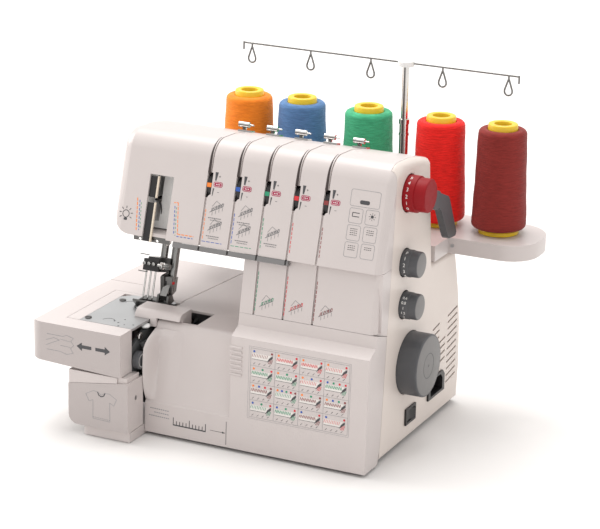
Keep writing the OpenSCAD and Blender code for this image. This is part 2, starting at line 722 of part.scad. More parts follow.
module mast_tube_upper() {
  color("silver") difference() {
    translate([mast_x, mast_y, mast_seam_z - 24]) cylinder(h = guide_z + 5 - mast_seam_z + 17, r = mast_d / 2);
    translate([mast_x, mast_y, mast_seam_z - 25]) cylinder(h = 14, r = mast_d / 2 - 0.8);
  }
}

// A drop-shaped eye that hangs from the guide wire.
module wire_eye(x) {
  r = wire_d / 2;
  eye_r = 3.4;
  translate([x, mast_y, guide_z]) {
    translate([0, 0, -4]) cylinder(h = 4, r = r);
    for (side = [-1, 1])
      translate([side * 0.3, 0, -3.4]) rotate([0, side * (180 - 19), 0]) cylinder(h = 9.6, r = r);
    translate([0, 0, -13.4]) rotate([90, 0, 0]) rotate([0, 0, 161])
      rotate_extrude(angle = 218) translate([eye_r, 0]) circle(r = r);
  }
}

eye_x = [left_x + 44.5, left_x + 100.4, left_x + 156.6, right_x - 22.8, right_x + 35.9];

module thread_guide_bar() {
  r = wire_d / 2;
  x0 = eye_x[0] - 8;
  x1 = eye_x[4] + 9;
  color("silver") {
    difference() {
      rod_x(x0, x1, mast_y, guide_z, r);
      translate([mast_x - 5, mast_y - 5, guide_z - 5]) cube(10);
    }
    for (x = eye_x) wire_eye(x);
    for (x = [x0, x1]) translate([x, mast_y, guide_z - 6]) cylinder(h = 6 + r, r = r);
  }
  color("white") translate([mast_x, mast_y, guide_z - 2.6]) difference() {
    union() {
      cylinder(h = 4, r = 7);
      translate([0, 0, 4]) cylinder(h = 1.6, r1 = 7, r2 = 5);
    }
    translate([0, 0, -1]) cylinder(h = 4, r = mast_d / 2 + fit);
  }
}

// A cross-wound cone on its plastic tube.
module thread_cone(i, c) {
  h = cone_h;
  translate([cone_x[i], cone_y, tray_top + gap]) {
    color("gold") rotate_extrude() polygon([[7, 0], [17.2, 0], [17.2, 3], [16, 4], [12.6, h - 9],
      [12.6, h - 1], [11.6, h], [8, h], [7, h - 1]]);
    color(c) rotate_extrude() polygon(concat(
      [[16.4, 4.6], [cone_r - 2, 4.6]],
      arc(cone_r - 3, 8, 3, -70, 0, 3),
      arc(cone_r - 6.8, h - 11.6, 4.2, 8, 82, 4),
      [[12.9, h - 7], [12.9, h - 9]]));
  }
}

// ---- controls ------------------------------------------------------

// A revolved control on the right side; x is measured outwards from the side.
module on_side(p) {
  translate([right_x, p[0], p[1]]) rotate([0, 90, 0]) children();
}

module handwheel() {
  r = handwheel_r;
  h = handwheel_out;
  color("dimgray") on_side([hand_y, shaft_z]) difference() {
    rotate_extrude($fn = 96) polygon(concat(
      [[shaft_r + fit, -8], [r - 1, -8], [r, -7]],
      arc(r - 2.5, h - 2.5, 2.5, 0, 90, 4),
      [[10.8, h], [10.8, h - 0.6], [10, h - 0.6], [10, h], [1.2, h], [1.2, h - 0.8], [0, h - 0.8], [0, h - 8],
       [shaft_r + fit, h - 8]]));
    // Hollow back between the hub and the rim.
    translate([0, 0, -9]) difference() {
      cylinder(h = h, r = r - 3.4);
      translate([0, 0, -1]) cylinder(h = h + 2, r = shaft_r + 4);
    }
  }
}

// A stepped dial: a numbered skirt, a grip and a shaft into the frame.
module dial(p, r, out, grip_r, shaft_to) {
  on_side(p) {
    rotate_extrude($fn = 72) polygon([[0, -4], [r, -4], [r - 0.2, out * 0.44], [r - 0.6, out * 0.47],
      [grip_r + 0.2, out * 0.49], [grip_r, out - 1.4], [grip_r - 0.4, out - 0.5], [grip_r - 1.3, out], [0, out]]);
    translate([0, 0, shaft_to - right_x]) cylinder(h = right_x - shaft_to, r = 3);
  }
}

module stitch_length_dial() {
  color("dimgray") dial(stitch_place, dial_r, dial_out, dial_r - 1.3, wall_x1 - 6);
}

module differential_dial() {
  color("dimgray") dial(feed_place, dial_r, dial_out, dial_r - 1.3, wall_x1 - 6);
}

module red_dial() {
  color("firebrick") dial(red_place, red_dial_r, red_dial_out, red_dial_r - 1.5, wall_x1 - 6);
}

// Lifts the presser foot: a hub outside the casing and an arm that bends down behind the dial.
module presser_lever() {
  color("dimgray") {
    rod_x(wall_x1 - 6, right_x + 5, lever_place[0], lever_place[1], 4);
    along_x(right_x + 5, 6) translate(lever_place) {
      circle(r = 8);
      polygon([[-2, 8], [24, -2.5], [27, -6], [44, -38], [42, -41], [28.5, -40], [25.5, -37.5], [10, -12.5], [4, -7]]);
    }
  }
}

module switch_bezel() {
  color("black") translate([right_x, switch_place[0], switch_place[1]]) difference() {
    union() {
      translate([-12, -9.4, -6.2]) cube([12, 18.8, 12.4]);
      translate([0.05, -10.3, -7.1]) cube([1.6, 20.6, 14.2]);
    }
    translate([-9, -8.3, -4.9]) cube([12, 16.6, 9.8]);
    // Seats of the rocker's two trunnions.
    translate([-1.5, 0, 0]) cylinder(h = 11.4, r = 1.5 + fit, center = true);
  }
}

rocker_tilt = 7;

module rocker_switch() {
  color("black") translate([right_x - 1.5, switch_place[0], switch_place[1]]) {
    rotate([0, 0, -rocker_tilt]) linear_extrude(9.2, center = true)
      polygon([[-3, -4.6], [2.6, -7.4], [3.6, -7.2], [2.2, 0], [3.6, 7.2], [2.6, 7.4], [-3, 4.6]]);
    cylinder(h = 11, r = 1.5, center = true);
  }
}

module power_inlet() {
  color("black") translate([right_x, inlet_place[0], inlet_place[1]]) difference() {
    union() {
      translate([-20, -16, -8]) cube([20, 32, 16]);
      translate([0.05, 0, 0]) rotate([90, 0, 90]) linear_extrude(1.6)
        polygon([[-17.5, -9.4], [17.5, -9.4], [17.5, 5], [13.5, 9.4], [-13.5, 9.4], [-17.5, 5]]);
    }
    translate([-15, 0, 0]) rotate([90, 0, 90]) linear_extrude(20)
      polygon([[-12.5, -7], [12.5, -7], [12.5, 3], [8.5, 7], [-8.5, 7], [-12.5, 3]]);
  }
  color("gold") for (y = [-7, 0, 7])
    translate([right_x - 15.01, inlet_place[0] + y - 0.8, inlet_place[1] + (y == 0 ? 1 : -3)]) cube([12, 1.6, 4]);
}

// Wheels whose rims show in the windows, with a coloured bead to read the setting by.
module tension_wheel(i, c) {
  on_face(wheel_x(i), wheel_s, wheel_depth) rotate([0, 90, 0]) {
    color("black") {
      rotate_extrude($fn = 72) polygon([[0, -wheel_w / 2], [tension_r - 0.6, -wheel_w / 2], [tension_r, -wheel_w / 2 + 0.5],
        [tension_r, wheel_w / 2 - 0.5], [tension_r - 0.6, wheel_w / 2], [0, wheel_w / 2]]);
      cylinder(h = wheel_w + 6, r = wheel_pin_r, center = true);
    }
  }
}

module tension_wheel_1() { tension_wheel(0, "orange"); }
module tension_wheel_2() { tension_wheel(1, "royalblue"); }
module tension_wheel_3() { tension_wheel(2, "seagreen"); }
module tension_wheel_4() { tension_wheel(3, "red"); }
module tension_wheel_5() { tension_wheel(4, "brown"); }

module thread_cone_1() { thread_cone(0, "orangered"); }
module thread_cone_2() { thread_cone(1, "steelblue"); }
module thread_cone_3() { thread_cone(2, "mediumseagreen"); }
module thread_cone_4() { thread_cone(3, "red"); }
module thread_cone_5() { thread_cone(4, "brown"); }

// ---- drive and frame -----------------------------------------------

shaft_r = 5;
frame_z = base_z + 6.3;
wall_x0 = right_x - 26;
wall_x1 = right_x - 18;
inner_x0 = col_x + 13;
side_x0 = block_x1 - 11.7;
side_x1 = side_x0 + 3;
pivot_y = needle_y - 46;
pivot_z = bed_h - 18;
looper_wall_y = needle_y + 18;
lower_pivot = [plate_x1 + 10, bed_h - 56];
upper_pivot = [plate_x1 + 18.5, bed_h - 12];
lower_plane = needle_y - 5;
upper_plane = needle_y - 0.4;
looper_r = 46;
knob_place = [front_y - 3, bed_h - 28];
motor_y = hand_y + 66;
motor_z = shaft_z - 18;
motor_r = 27;
belt_x = right_x - 16.5;
take_up_s = 38;
take_up_depth = 44;
take_up_x = slot_x + 3.5;
take_up_c = face_point(take_up_s, take_up_depth);

module frame_casting() {
  color("darkgray") difference() {
    union() {
      // Floor of the frame and its two column walls.
      translate([left_x + 56, hand_y - 34, frame_z]) cube([wall_x1 - left_x - 56, 104, 7]);
      along_x(wall_x0, wall_x1 - wall_x0)
        polygon([[hand_y - 46, frame_z], [hand_y - 46, 100], [hand_y - 34, 120], [hand_y - 34, body_h - 16],
          [hand_y + 28, body_h - 16], [hand_y + 28, 120], [hand_y + 36, 40], [hand_y + 36, frame_z]]);
      along_x(inner_x0, 8)
        polygon([[hand_y - 29, frame_z], [hand_y - 29, 110], [hand_y - 14, 124], [hand_y - 14, body_h - 46],
          [hand_y + 28, body_h - 46], [hand_y + 30, frame_z]]);
      // Beam along the arm and the head's plate with its two bushes.
      translate([take_up_x + 5, take_up_c[0] - 6, take_up_c[1] - 6])
        cube([wall_x1 - take_up_x - 5, 28, 13]);
      for (s = [26, 48])
        on_face(needle_x - 8, s, bar_depth - 9) cube([take_up_x + 15 - needle_x, 18, 9]);
      on_face(take_up_x + 4, 26, bar_depth - 24) cube([4, 33, 31]);
      // Walls that carry the main shaft's end and the loopers.
      along_x(left_x + 60, 8)
        polygon([[hand_y - 24, frame_z], [hand_y - 12, bed_h - 10], [hand_y + 12, bed_h - 10], [hand_y + 24, frame_z]]);
      translate([bed_left + wall + 0.4, looper_wall_y - 4, frame_z]) cube([left_x + 68 - bed_left - wall - 0.4, 8, bed_h - 6 - frame_z]);
      // Side plate of the looper works, with the knives' window.
      along_x(side_x0, side_x1 - side_x0)
        polygon([[front_y - 8, base_z + 30], [front_y - 8, bed_h - 16], [front_y + 10, bed_h - 8],
          [looper_wall_y - 6.5, bed_h - 8], [looper_wall_y - 6.5, frame_z], [front_y + 40, frame_z]]);
      translate([side_x0, bed_y0 - 13, frame_z]) cube([left_x + 62 - side_x0, 12, 7]);
    }
    rod_x(left_x + 50, right_x - 10, hand_y, shaft_z, shaft_r + fit);
    for (p = [red_place, stitch_place, feed_place]) rod_x(wall_x0 - 1, wall_x1 + 1, p[0], p[1], 3 + fit);
    rod_x(wall_x0 - 1, wall_x1 + 1, lever_place[0], lever_place[1], 4 + fit);
    on_face(needle_x, 20, bar_depth) cylinder(h = 60, r = needle_bar_d / 2 + fit);
    on_face(presser_x, 20, bar_depth) cylinder(h = 60, r = presser_bar_d / 2 + fit);
    rod_x(take_up_x + 3, take_up_x + 14, take_up_c[0], take_up_c[1], 2 + fit);
    for (p = [lower_pivot, upper_pivot])
      translate([p[0], looper_wall_y - 6, p[1]]) rotate([-90, 0, 0]) cylinder(h = 12, r = 2.5 + fit);
    translate([side_x0 - 1, needle_y - 16, bed_h - 42]) cube([6, 26, 60]);
    rod_x(side_x0 - 1, side_x1 + 1, pivot_y, pivot_z, 2 + fit);
    rod_x(side_x0 - 1, side_x1 + 1, knob_place[0], knob_place[1], 2.5 + fit);
    for (z = [bed_h - 56, bed_h - 46])
      rod_x(side_x0 - 1, side_x1 + 1, front_y - 3, z, 2.6);
  }
}

module main_shaft() {
  color("silver") difference() {
    union() {
      rod_x(left_x + 58, right_x + handwheel_out - 8.2, hand_y, shaft_z, shaft_r);
      // Belt pulley and the crank's counterweight.
      rod_x(belt_x, belt_x + 7, hand_y, shaft_z, 20);
      rod_x(col_x + 40, col_x + 52, hand_y, shaft_z, 14);
    }
    rod_x(belt_x + 4.5, belt_x + 8, hand_y, shaft_z, 0.6);
  }
}

module motor() {
  color("darkslategray") difference() {
    union() {
      rod_x(col_x + 30, wall_x0 - 9, motor_y, motor_z, motor_r);
      translate([col_x + 36, motor_y - 20, frame_z + 7 + gap]) cube([44, 30, motor_z - frame_z - 7 - gap]);
    }
    rod_x(col_x + 20, wall_x0, motor_y, motor_z, 3 + fit);
    // Cooling ring.
    for (x = [col_x + 38, col_x + 56])
      difference() {
        rod_x(x, x + 4, motor_y, motor_z, motor_r + 1);
        rod_x(x - 1, x + 5, motor_y, motor_z, motor_r - 3);
      }
  }
}

module motor_rotor() {
  color("silver") {
    rod_x(col_x + 28, belt_x + 8, motor_y, motor_z, 3);
    rod_x(belt_x, belt_x + 7, motor_y, motor_z, 8);
  }
}

module drive_belt() {
  color("black") along_x(belt_x + 0.5, 6) difference() {
    hull() {
      translate([hand_y, shaft_z]) circle(r = 21.8);
      translate([motor_y, motor_z]) circle(r = 9.8);
    }
    hull() {
      translate([hand_y, shaft_z]) circle(r = 20.2, $fn = 60);
      translate([motor_y, motor_z]) circle(r = 8.2, $fn = 60);
    }
  }
}

// ---- head ----------------------------------------------------------

liner_s = 8.5;

// Channel behind the take-up slot: back wall with the lever's slit, and a right wall.
module slot_liner() {
  color("darkgray") difference() {
    on_face(slot_x - 1.2, liner_s, wall + gap) cube([slot_w + 2.4, 13, slot_h - liner_s + 1.2]);
    on_face(slot_x, liner_s - 1, wall - 1) cube([slot_w, 13, slot_h - liner_s + 1]);
    on_face(slot_x + 1, 14, wall + 8) cube([5, 10, slot_h - 15]);
  }
}

module take_up_lever() {
  color("black") {
    rod_x(take_up_x - 2, take_up_x + 12, take_up_c[0], take_up_c[1], 2);
    rod_x(take_up_x - 2, take_up_x + 3, take_up_c[0], take_up_c[1], 5);
    on_face(take_up_x - 1, take_up_s - 2, 6) cube([2, take_up_depth - 6, 4]);
    // Hook that leads the threads, bent to the right and down.
    on_face(take_up_x, take_up_s - 11, 7) rotate([90, 0, 0])
      rotate_extrude(angle = 90) translate([10.6, 0]) circle(r = 1);
  }
}

// Lowest point of the needle bar and its clamp, along the lean.
clamp_s = -30;

module needle_bar() {
  color("silver") on_face(needle_x, clamp_s, bar_depth) cylinder(h = 88, r = needle_bar_d / 2);
}

module needle_clamp() {
  color("black") difference() {
    union() {
      on_face(needle_x - 6, clamp_s, needle_depth - 3.5) cube([10.5, bar_depth - needle_depth + 8, 12]);
      on_face(needle_x - 10, clamp_s, needle_depth - 3.5) cube([12, 8, 10]);
    }
    on_face(needle_x, -40, bar_depth) cylinder(h = 60, r = needle_bar_d / 2 + 0.02);
    for (x = needle_offsets) on_face(needle_x + x, clamp_s - 20, needle_depth) cylinder(h = 30, r = 1);
  }
  color("silver") for (x = needle_offsets)
    on_face(needle_x + x, clamp_s + 6, needle_depth - 3.5) rotate([90, 0, 0]) cylinder(h = 3, r = 1.5);
}

needle_offsets = [-8, -3.6, 0.8];

module needles() {
  tip = (bed_h + 1 - face_point(0, needle_depth)[1]) / cos(face_lean);
  color("lightgray") for (x = needle_offsets)
    on_face(needle_x + x, tip, needle_depth) {
      cylinder(h = 4, r1 = 0.15, r2 = 0.8, $fn = 16);
      translate([0, 0, 4]) cylinder(h = clamp_s + 9 - tip - 4, r = 0.8, $fn = 16);
    }
}

module presser_bar() {
  foot_s = (bed_h + 9 - face_point(0, bar_depth)[1]) / cos(face_lean);
  color("silver") {
    on_face(presser_x, foot_s, bar_depth) cylinder(h = 60 - foot_s - 4, r = presser_bar_d / 2);
    // Shank, with the seat of the foot's pin.
    difference() {
      hull() {
        on_face(presser_x - 3, foot_s, bar_depth - 4.6) cube([6, 9.2, 12]);
        translate([presser_x - 3, foot_pin[0] - 3, foot_pin[1] - 2]) cube([6, 6, 4]);
      }
      rod_x(presser_x - 5, presser_x + 5, foot_pin[0], foot_pin[1], 1.5 + fit);
    }
  }
}
foot_pin = [needle_y + 6, bed_h + 6];

module presser_foot() {
  x0 = needle_x - 11;
  x1 = presser_x + 5.6;
  color("gray") difference() {
    union() {
      // Sole with a turned-up toe.
      along_x(x0, x1 - x0)
        polygon([[needle_y + 13, bed_h + gap + 1.2], [needle_y + 12, bed_h + 2.8], [needle_y - 4, bed_h + 2.8],
          [needle_y - 10.6, bed_h + 6.4], [needle_y - 11.6, bed_h + 5], [needle_y - 7, bed_h + gap], [needle_y + 7.5, bed_h + gap]]);
      for (x = [presser_x - 5.6, presser_x + 3.6])
        along_x(x, 2)
          polygon([[needle_y + 1, bed_h + 2], [needle_y + 3, bed_h + 8.4], [needle_y + 9, bed_h + 8.4], [needle_y + 12, bed_h + 2]]);
      rod_x(presser_x - 5.6, x1, foot_pin[0], foot_pin[1], 1.5);
    }
    translate([needle_x - 10, needle_y - 4.4, bed_h - 1]) cube([14.5, 6.6, 12]);
  }
}

// Wire-edged plate under the head, with an eyelet beside the take-up slot.
module head_thread_guide() {
  y = face_y(arm_under) + 4;
  color("silver") difference() {
    union() {
      translate([left_x + 20, y, arm_under - 1.3]) cube([34, 22, 1.25]);
      translate([left_x + 20, y, arm_under - 5]) cube([34, 1.2, 4]);
      translate([slot_x + slot_w - 3, y + 1, arm_under - 7]) cube([1.2, 9, 6]);
    }
    for (x = [left_x + 26, left_x + 34, left_x + 42])
      translate([x, y - 1, arm_under - 3.6]) rotate([-90, 0, 0]) cylinder(h = 4, r = 1.2, $fn = 24);
    translate([left_x + 24, y + 6, arm_under - 3]) cube([14, 12, 4]);
  }
}

// Grey rail under the first panels, with a notch under each thread channel.
module arm_thread_rail() {
  x1 = channel_x(3) + 2;
  color("gray") difference() {
    on_face(slot_x + slot_w + 7, -4.4, -0.6) cube([x1 - slot_x - slot_w - 7, 5, 4.2]);
    for (i = [0:3]) on_face(channel_x(i) - 0.8, -6, -2) cube([1.6, 4, 8]);
    on_face(slot_x, -0.2, -2) cube([200, 12, 12]);
  }
}

module led_lamp() {
  color("white") translate([left_x + 46, face_y(arm_under) + 32, arm_under - 3]) cube([12, 22, 2.95]);
}

// Spring clips along the rear edge of the top, one for each thread.
module top_thread_guides() {
  z = body_h - 4.7;
  color("silver") for (i = [0:4])
    translate([channel_x(i), clip_y, z]) {
      translate([-6, -4, 0.2]) rotate([-14, 0, 0]) cube([12, 8, 1.4]);
      translate([-6.4, 0, 5.2]) rotate([0, 90, 0]) cylinder(h = 9.5, r = 2.3, $fn = 32);
      translate([-3, -1, 1]) cube([3, 2, 3]);
      translate([3, 0, 5.2]) rotate([0, 90, 0]) cylinder(h = 4, r = 0.7, $fn = 16);
    }
}

// ---- looper works --------------------------------------------------

knife_y = [needle_y - 10.8, needle_y - 6.5];

module lower_knife() {
  color("silver") translate([side_x0 + 1.6, knife_y[0], bed_h - 42])
    cube([1.4, knife_y[1] - knife_y[0], 42]);
}

// Swings down past the lower knife.
module upper_knife() {
  x = side_x1 + 0.8;
  color("dimgray") {
    rod_x(side_x0 - 1.5, x + 5, pivot_y, pivot_z, 2);
    along_x(x + 1.4, 3)
      polygon([[pivot_y - 4, pivot_z - 3], [pivot_y - 4, pivot_z + 3], [knife_y[0] - 3, pivot_z + 4],
        [knife_y[0], pivot_z + 10], [knife_y[1], pivot_z + 10], [knife_y[1], pivot_z - 2], [pivot_y + 4, pivot_z - 4]]);
    along_x(x, 1.41)
      polygon([[knife_y[0], pivot_z], [knife_y[0], bed_h + 4], [knife_y[1], bed_h + 2], [knife_y[1], pivot_z]]);
  }
}

// Crescent on a long arm that carries a thread under the needles, swinging on a shaft along Y.
module lower_looper() {
  p = lower_pivot;
  color("silver") {
    translate([p[0], lower_plane, p[1]]) rotate([-90, 0, 0]) cylinder(h = looper_wall_y + 5 - lower_plane, r = 2.5);
    along_y(lower_plane, 2.5) {
      translate(p) circle(r = 5);
      polygon(concat([[p[0] + 3, p[1] + 2]], arc(p[0], p[1], looper_r + 1.5, 94, 112, 5),
        arc(p[0], p[1], looper_r + 0.7, 118, 122, 1), arc(p[0], p[1], looper_r - 1.5, 120, 106, 4),
        [[p[0] - 11, p[1] + looper_r - 8], [p[0] - 3, p[1] + 2]]));
    }
  }
}

module upper_looper() {
  p = upper_pivot;
  color("silver") {
    translate([p[0], upper_plane, p[1]]) rotate([-90, 0, 0]) cylinder(h = looper_wall_y + 5 - upper_plane, r = 2.5);
    along_y(upper_plane, 2.5) {
      translate(p) circle(r = 4.6);
      polygon([[p[0] + 1, p[1] + 4.4], [p[0] - 8, p[1] + 4.4], [p[0] - 14, p[1] + 5.6], [p[0] - 19, p[1] + 9],
        [p[0] - 16.5, p[1] + 3.4], [p[0] - 12, p[1]], [p[0] - 2, p[1] - 4.2]]);
    }
  }
}

// Two toothed bars on one carrier, that creep under the foot.
module feed_dogs() {
  color("silver") {
    for (x = feed_x, row = feed_rows) {
      translate([x - 1.5, needle_y + row[0] + 1.7, bed_h - 8]) cube([3, row[1] - 3.4, 7.2]);
      for (k = [0:2])
        along_x(x - 1.5, 3)
          translate([needle_y + row[0] + 1.7 + k * (row[1] - 3.4) / 3, bed_h - 0.85])
            polygon([[0, 0], [(row[1] - 3.4) / 6, 0.7], [(row[1] - 3.4) / 3, 0]]);
    }
    difference() {
      translate([feed_x[0] - 1.5, needle_y - 12.3, bed_h - 10]) cube([feed_x[1] - feed_x[0] + 3, 21.6, 2.4]);
      translate([feed_x[0] - 2, needle_y - 6, bed_h - 12]) cube([needle_x + 4.2 - feed_x[0], 9.5, 6]);
    }
  }
}

module width_knob() {
  color("dimgray") {
    rod_x(side_x0 - 2, side_x1 + 1.2, knob_place[0], knob_place[1], 2.5);
    translate([side_x1 + 1.1, knob_place[0], knob_place[1]]) rotate([0, 90, 0])
      rotate_extrude($fn = 48) polygon([[0, 0], [6.9, 0], [7.5, 0.6], [7.5, 5], [6.9, 5.8], [5.6, 5.8], [5.2, 5.3], [0, 5.3]]);
  }
}

// ---- screws --------------------------------------------------------

module screw_head(r, h) {
  difference() {
    cylinder(h = h, r = r, $fn = 32);
    translate([-r, -0.35, h * 0.5]) cube([2 * r, 0.7, h]);
  }
}

module casing_screws() {
  color("silver") {
    for (p = plate_screws)
      translate([p[0], p[1], bed_h]) {
        translate([0, 0, 0.02]) screw_head(2.9, 0.7);
        translate([0, 0, -4]) cylinder(h = 4.1, r = 1.6);
      }
    // Screw of the block cover, sunk in its right face.
    translate([block_x1 - 1.7, front_y - 14, base_z + 34]) rotate([0, 90, 0])
      translate([0, 0, -4.2]) screw_head(2.04, 4);
    // Screw that holds the tray's nose.
    translate([right_x + 4, tray_nose_y, tray_top - tray_h / 2]) rotate([90, 0, 0]) {
      translate([0, 0, 0.02]) screw_head(1.6, 0.6);
    }
  }
}

// ---- parts to draw -------------------------------------------------

base_pan();
rubber_feet();
frame_casting();
right_casing();
front_casing();
column_casing();
rear_casing();
bed_casing();
free_arm_casing();
block_cover();
needle_plate();
lower_knife();
led_lamp();
slot_liner();
head_thread_guide();
arm_thread_rail();
top_thread_guides();
spool_tray();
spool_pins();
mast_tube_lower();
motor();
drive_belt();
power_inlet();
switch_bezel();
casing_screws();
handwheel();
main_shaft();
motor_rotor();
needle_bar();
needle_clamp();
needles();
take_up_lever();
upper_looper();
lower_looper();
upper_knife();
feed_dogs();
presser_bar();
presser_foot();
presser_lever();
red_dial();
stitch_length_dial();
differential_dial();
tension_wheel_1();
tension_wheel_2();
tension_wheel_3();
tension_wheel_4();
tension_wheel_5();
rocker_switch();
width_knob();
cover_hinge();
front_cover();
looper_cap();
sewing_table();
mast_tube_upper();
thread_guide_bar();
thread_cone_1();
thread_cone_2();
thread_cone_3();
thread_cone_4();
thread_cone_5();
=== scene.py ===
# %% [markdown]
# # A five-thread overlock machine, dressed piece by piece
# The machine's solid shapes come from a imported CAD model, which this script loads and never moves.
# Blender adds what a CAD solid can't carry: plastics, steel, wound thread, printed lines and numbers. It
# also turns the dials again, adds some small solid pieces, and closes three gaps between the solids.
# Every new piece is built from vertices and faces, and each one rides on the CAD body that carries it,
# so that the covers still open and the dials still turn.

# %% Load the frame
from math import cos, degrees, pi, radians, sin, tan
import bmesh
import bpy
from mathutils import Matrix, Vector


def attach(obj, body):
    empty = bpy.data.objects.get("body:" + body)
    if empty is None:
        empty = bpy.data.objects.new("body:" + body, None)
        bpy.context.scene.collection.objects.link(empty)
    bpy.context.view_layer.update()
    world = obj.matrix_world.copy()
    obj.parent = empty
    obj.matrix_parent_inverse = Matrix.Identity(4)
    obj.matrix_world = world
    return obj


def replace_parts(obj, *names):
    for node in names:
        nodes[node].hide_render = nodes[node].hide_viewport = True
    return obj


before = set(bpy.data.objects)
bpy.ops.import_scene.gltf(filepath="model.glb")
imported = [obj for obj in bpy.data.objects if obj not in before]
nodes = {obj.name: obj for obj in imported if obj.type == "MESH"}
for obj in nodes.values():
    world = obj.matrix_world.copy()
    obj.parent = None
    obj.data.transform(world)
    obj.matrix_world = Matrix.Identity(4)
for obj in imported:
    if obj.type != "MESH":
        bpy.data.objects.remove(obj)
scene = bpy.context.scene
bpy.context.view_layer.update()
mm = 0.001


def add(name, data):
    o = bpy.data.objects.new(name, data)
    scene.collection.objects.link(o)
    return o

# %% [markdown]
# ## The places that everything is measured from
# A maker keeps one list of the machine's main lines. Printed lines and small pieces are then given as
# distances on its faces, as on a drawing. All of them are millimetres in the frame's own axes: X to the
# right, Y to the back, Z up.

# %% Main lines of the machine
right_x, left_x = 111.5, -133.5
front_y, back_y = -99.75, 100.25
arm_under, body_h, bed_h, base_z = 164.0, 246.4, 94.0, 3.0
cover_top = base_z + 112
lean = radians(16.6)
face_foot = front_y + 21.6
up_face, into_head = Vector((0, sin(lean), cos(lean))), Vector((0, cos(lean), -sin(lean)))
channel_pitch = 26.2
channel_x = [left_x + 83.2 + channel_pitch * i for i in range(5)]
cone_x = [left_x + 40, left_x + 91, left_x + 154, right_x - 24.5, right_x + 31]
cone_y, tray_top = back_y - 5, 158.5
cover_x0 = -88.8
print("thread channels at", [round(x, 1) for x in channel_x])

# %% [markdown]
# ## The camera
# The camera stands in front of the machine, to its right and a little above it. Its place and its turn
# are written as three axes: where its right side points, where its top points, and where its back points.
# Blender's camera looks along its own minus Z, so the back axis is the third column of the matrix.

# %% Camera
turn, drop, roll = radians(25.3872), radians(17.91967), radians(-1.18601)
forward = Vector((-sin(turn) * cos(drop), cos(turn) * cos(drop), -sin(drop)))
level = Vector((cos(turn), sin(turn), 0))
downward = forward.cross(level)
side_axis = cos(roll) * level + sin(roll) * downward
down_axis = -sin(roll) * level + cos(roll) * downward

eye = bpy.data.cameras.new("eye")
eye.sensor_width, eye.lens = 36, 142.99
camera = add("eye", eye)
camera.matrix_world = Matrix.Translation(Vector((815.0, -1709.65, 746.5)) * mm) @ Matrix(
    (side_axis, -down_axis, -forward)).transposed().to_4x4()
scene.camera = camera
print("lens", eye.lens, "mm")

# %% [markdown]
# ## Finishes
# A finish is a material made of nodes. Real mouldings are never one flat colour: the tone drifts a little,
# the gloss is uneven, and a fine grain from the mould breaks up reflections. One helper builds all the
# moulded plastics from those three things.

# %% Helper: shader with tone, gloss and grain
def shader_of(name, values):
    material = bpy.data.materials.new(name)
    material.use_nodes = True
    shader = material.node_tree.nodes["Principled BSDF"]
    for value in values:
        shader.inputs[value].default_value = values[value]
    return material, material.node_tree, shader


def node(tree, kind, values, feeds):
    """A shader node with typed values, and feeds that lead other nodes' outputs into its inputs."""
    made = tree.nodes.new("ShaderNode" + kind)
    for name, value in values.items():
        made.inputs[name].default_value = value
    for name, output in feeds.items():
        tree.links.new(output, made.inputs[name])
    return made


def noise(tree, scale, detail=3.0, stretch=(1, 1, 1)):
    place = node(tree, "TexCoord", {}, {})
    spread = node(tree, "Mapping", {"Scale": stretch}, {"Vector": place.outputs["Object"]})
    cloud = node(tree, "TexNoise", {"Scale": scale, "Detail": detail}, {"Vector": spread.outputs["Vector"]})
    return cloud.outputs["Fac"]


def tone(tree, shader, value, colour, drift):
    ramp = node(tree, "ValToRGB", {}, {"Fac": value})
    for stop, factor, at in zip(ramp.color_ramp.elements, (1 - drift, 1 + drift), (0.3, 0.7)):
        stop.position = at
        stop.color = [min(1, c * factor) for c in colour] + [1]
    tree.links.new(ramp.outputs["Color"], shader.inputs["Base Color"])


def gloss(tree, shader, value, low, high):
    span = node(tree, "MapRange", {"To Min": low, "To Max": high}, {"Value": value})
    tree.links.new(span.outputs["Result"], shader.inputs["Roughness"])


def grain(tree, shader, value, strength, depth):
    bump = node(tree, "Bump", {"Strength": strength, "Distance": depth}, {"Height": value})
    tree.links.new(bump.outputs["Normal"], shader.inputs["Normal"])


def finish(name, colour, rough, drift=0.03, fine=2600, strength=0.12, metal=0.0, coat=0.0,
           stretch=(1, 1, 1), specular=0.5):
    material, tree, shader = shader_of(name, {
        "Metallic": metal, "Coat Weight": coat, "Coat Roughness": 0.12, "Specular IOR Level": specular})
    tone(tree, shader, noise(tree, 38, 2), colour, drift)
    gloss(tree, shader, noise(tree, 210, 4, stretch), rough * 0.85, rough * 1.15)
    grain(tree, shader, noise(tree, fine, 2, stretch), strength, 0.00012)
    return material

# %% [markdown]
# Polished metal shows its surroundings as bands of light and dark. In a white studio there is little to
# mirror, so the bands are painted reflections in the base colour: a colour ramp reads how far the surface
# leans towards one fixed direction of the room, and paints that lean as light or dark.

# %% Helper: metal with painted reflections
painted_reflection_way = (0.62, -0.22, 0.75)


def painted_reflection_metal(name, bands, rough):
    material, tree, shader = shader_of(name, {"Metallic": 1.0})
    normal = node(tree, "TexCoord", {}, {}).outputs["Normal"]
    lean_to = node(tree, "VectorMath", {1: painted_reflection_way}, {0: normal})
    lean_to.operation = "DOT_PRODUCT"
    span = node(tree, "MapRange", {"From Min": -1}, {"Value": lean_to.outputs["Value"]})
    ramp = node(tree, "ValToRGB", {}, {"Fac": span.outputs["Result"]})
    stops = ramp.color_ramp.elements
    while len(stops) < len(bands):
        stops.new(0.5)
    for stop, (at, level) in zip(stops, bands):
        stop.position, stop.color = at, (level, level * 0.985, level * 0.96, 1)
    tree.links.new(ramp.outputs["Color"], shader.inputs["Base Color"])
    gloss(tree, shader, noise(tree, 260, 3), rough * 0.8, rough * 1.25)
    grain(tree, shader, noise(tree, 900, 2), 0.05, 0.0001)
    return material

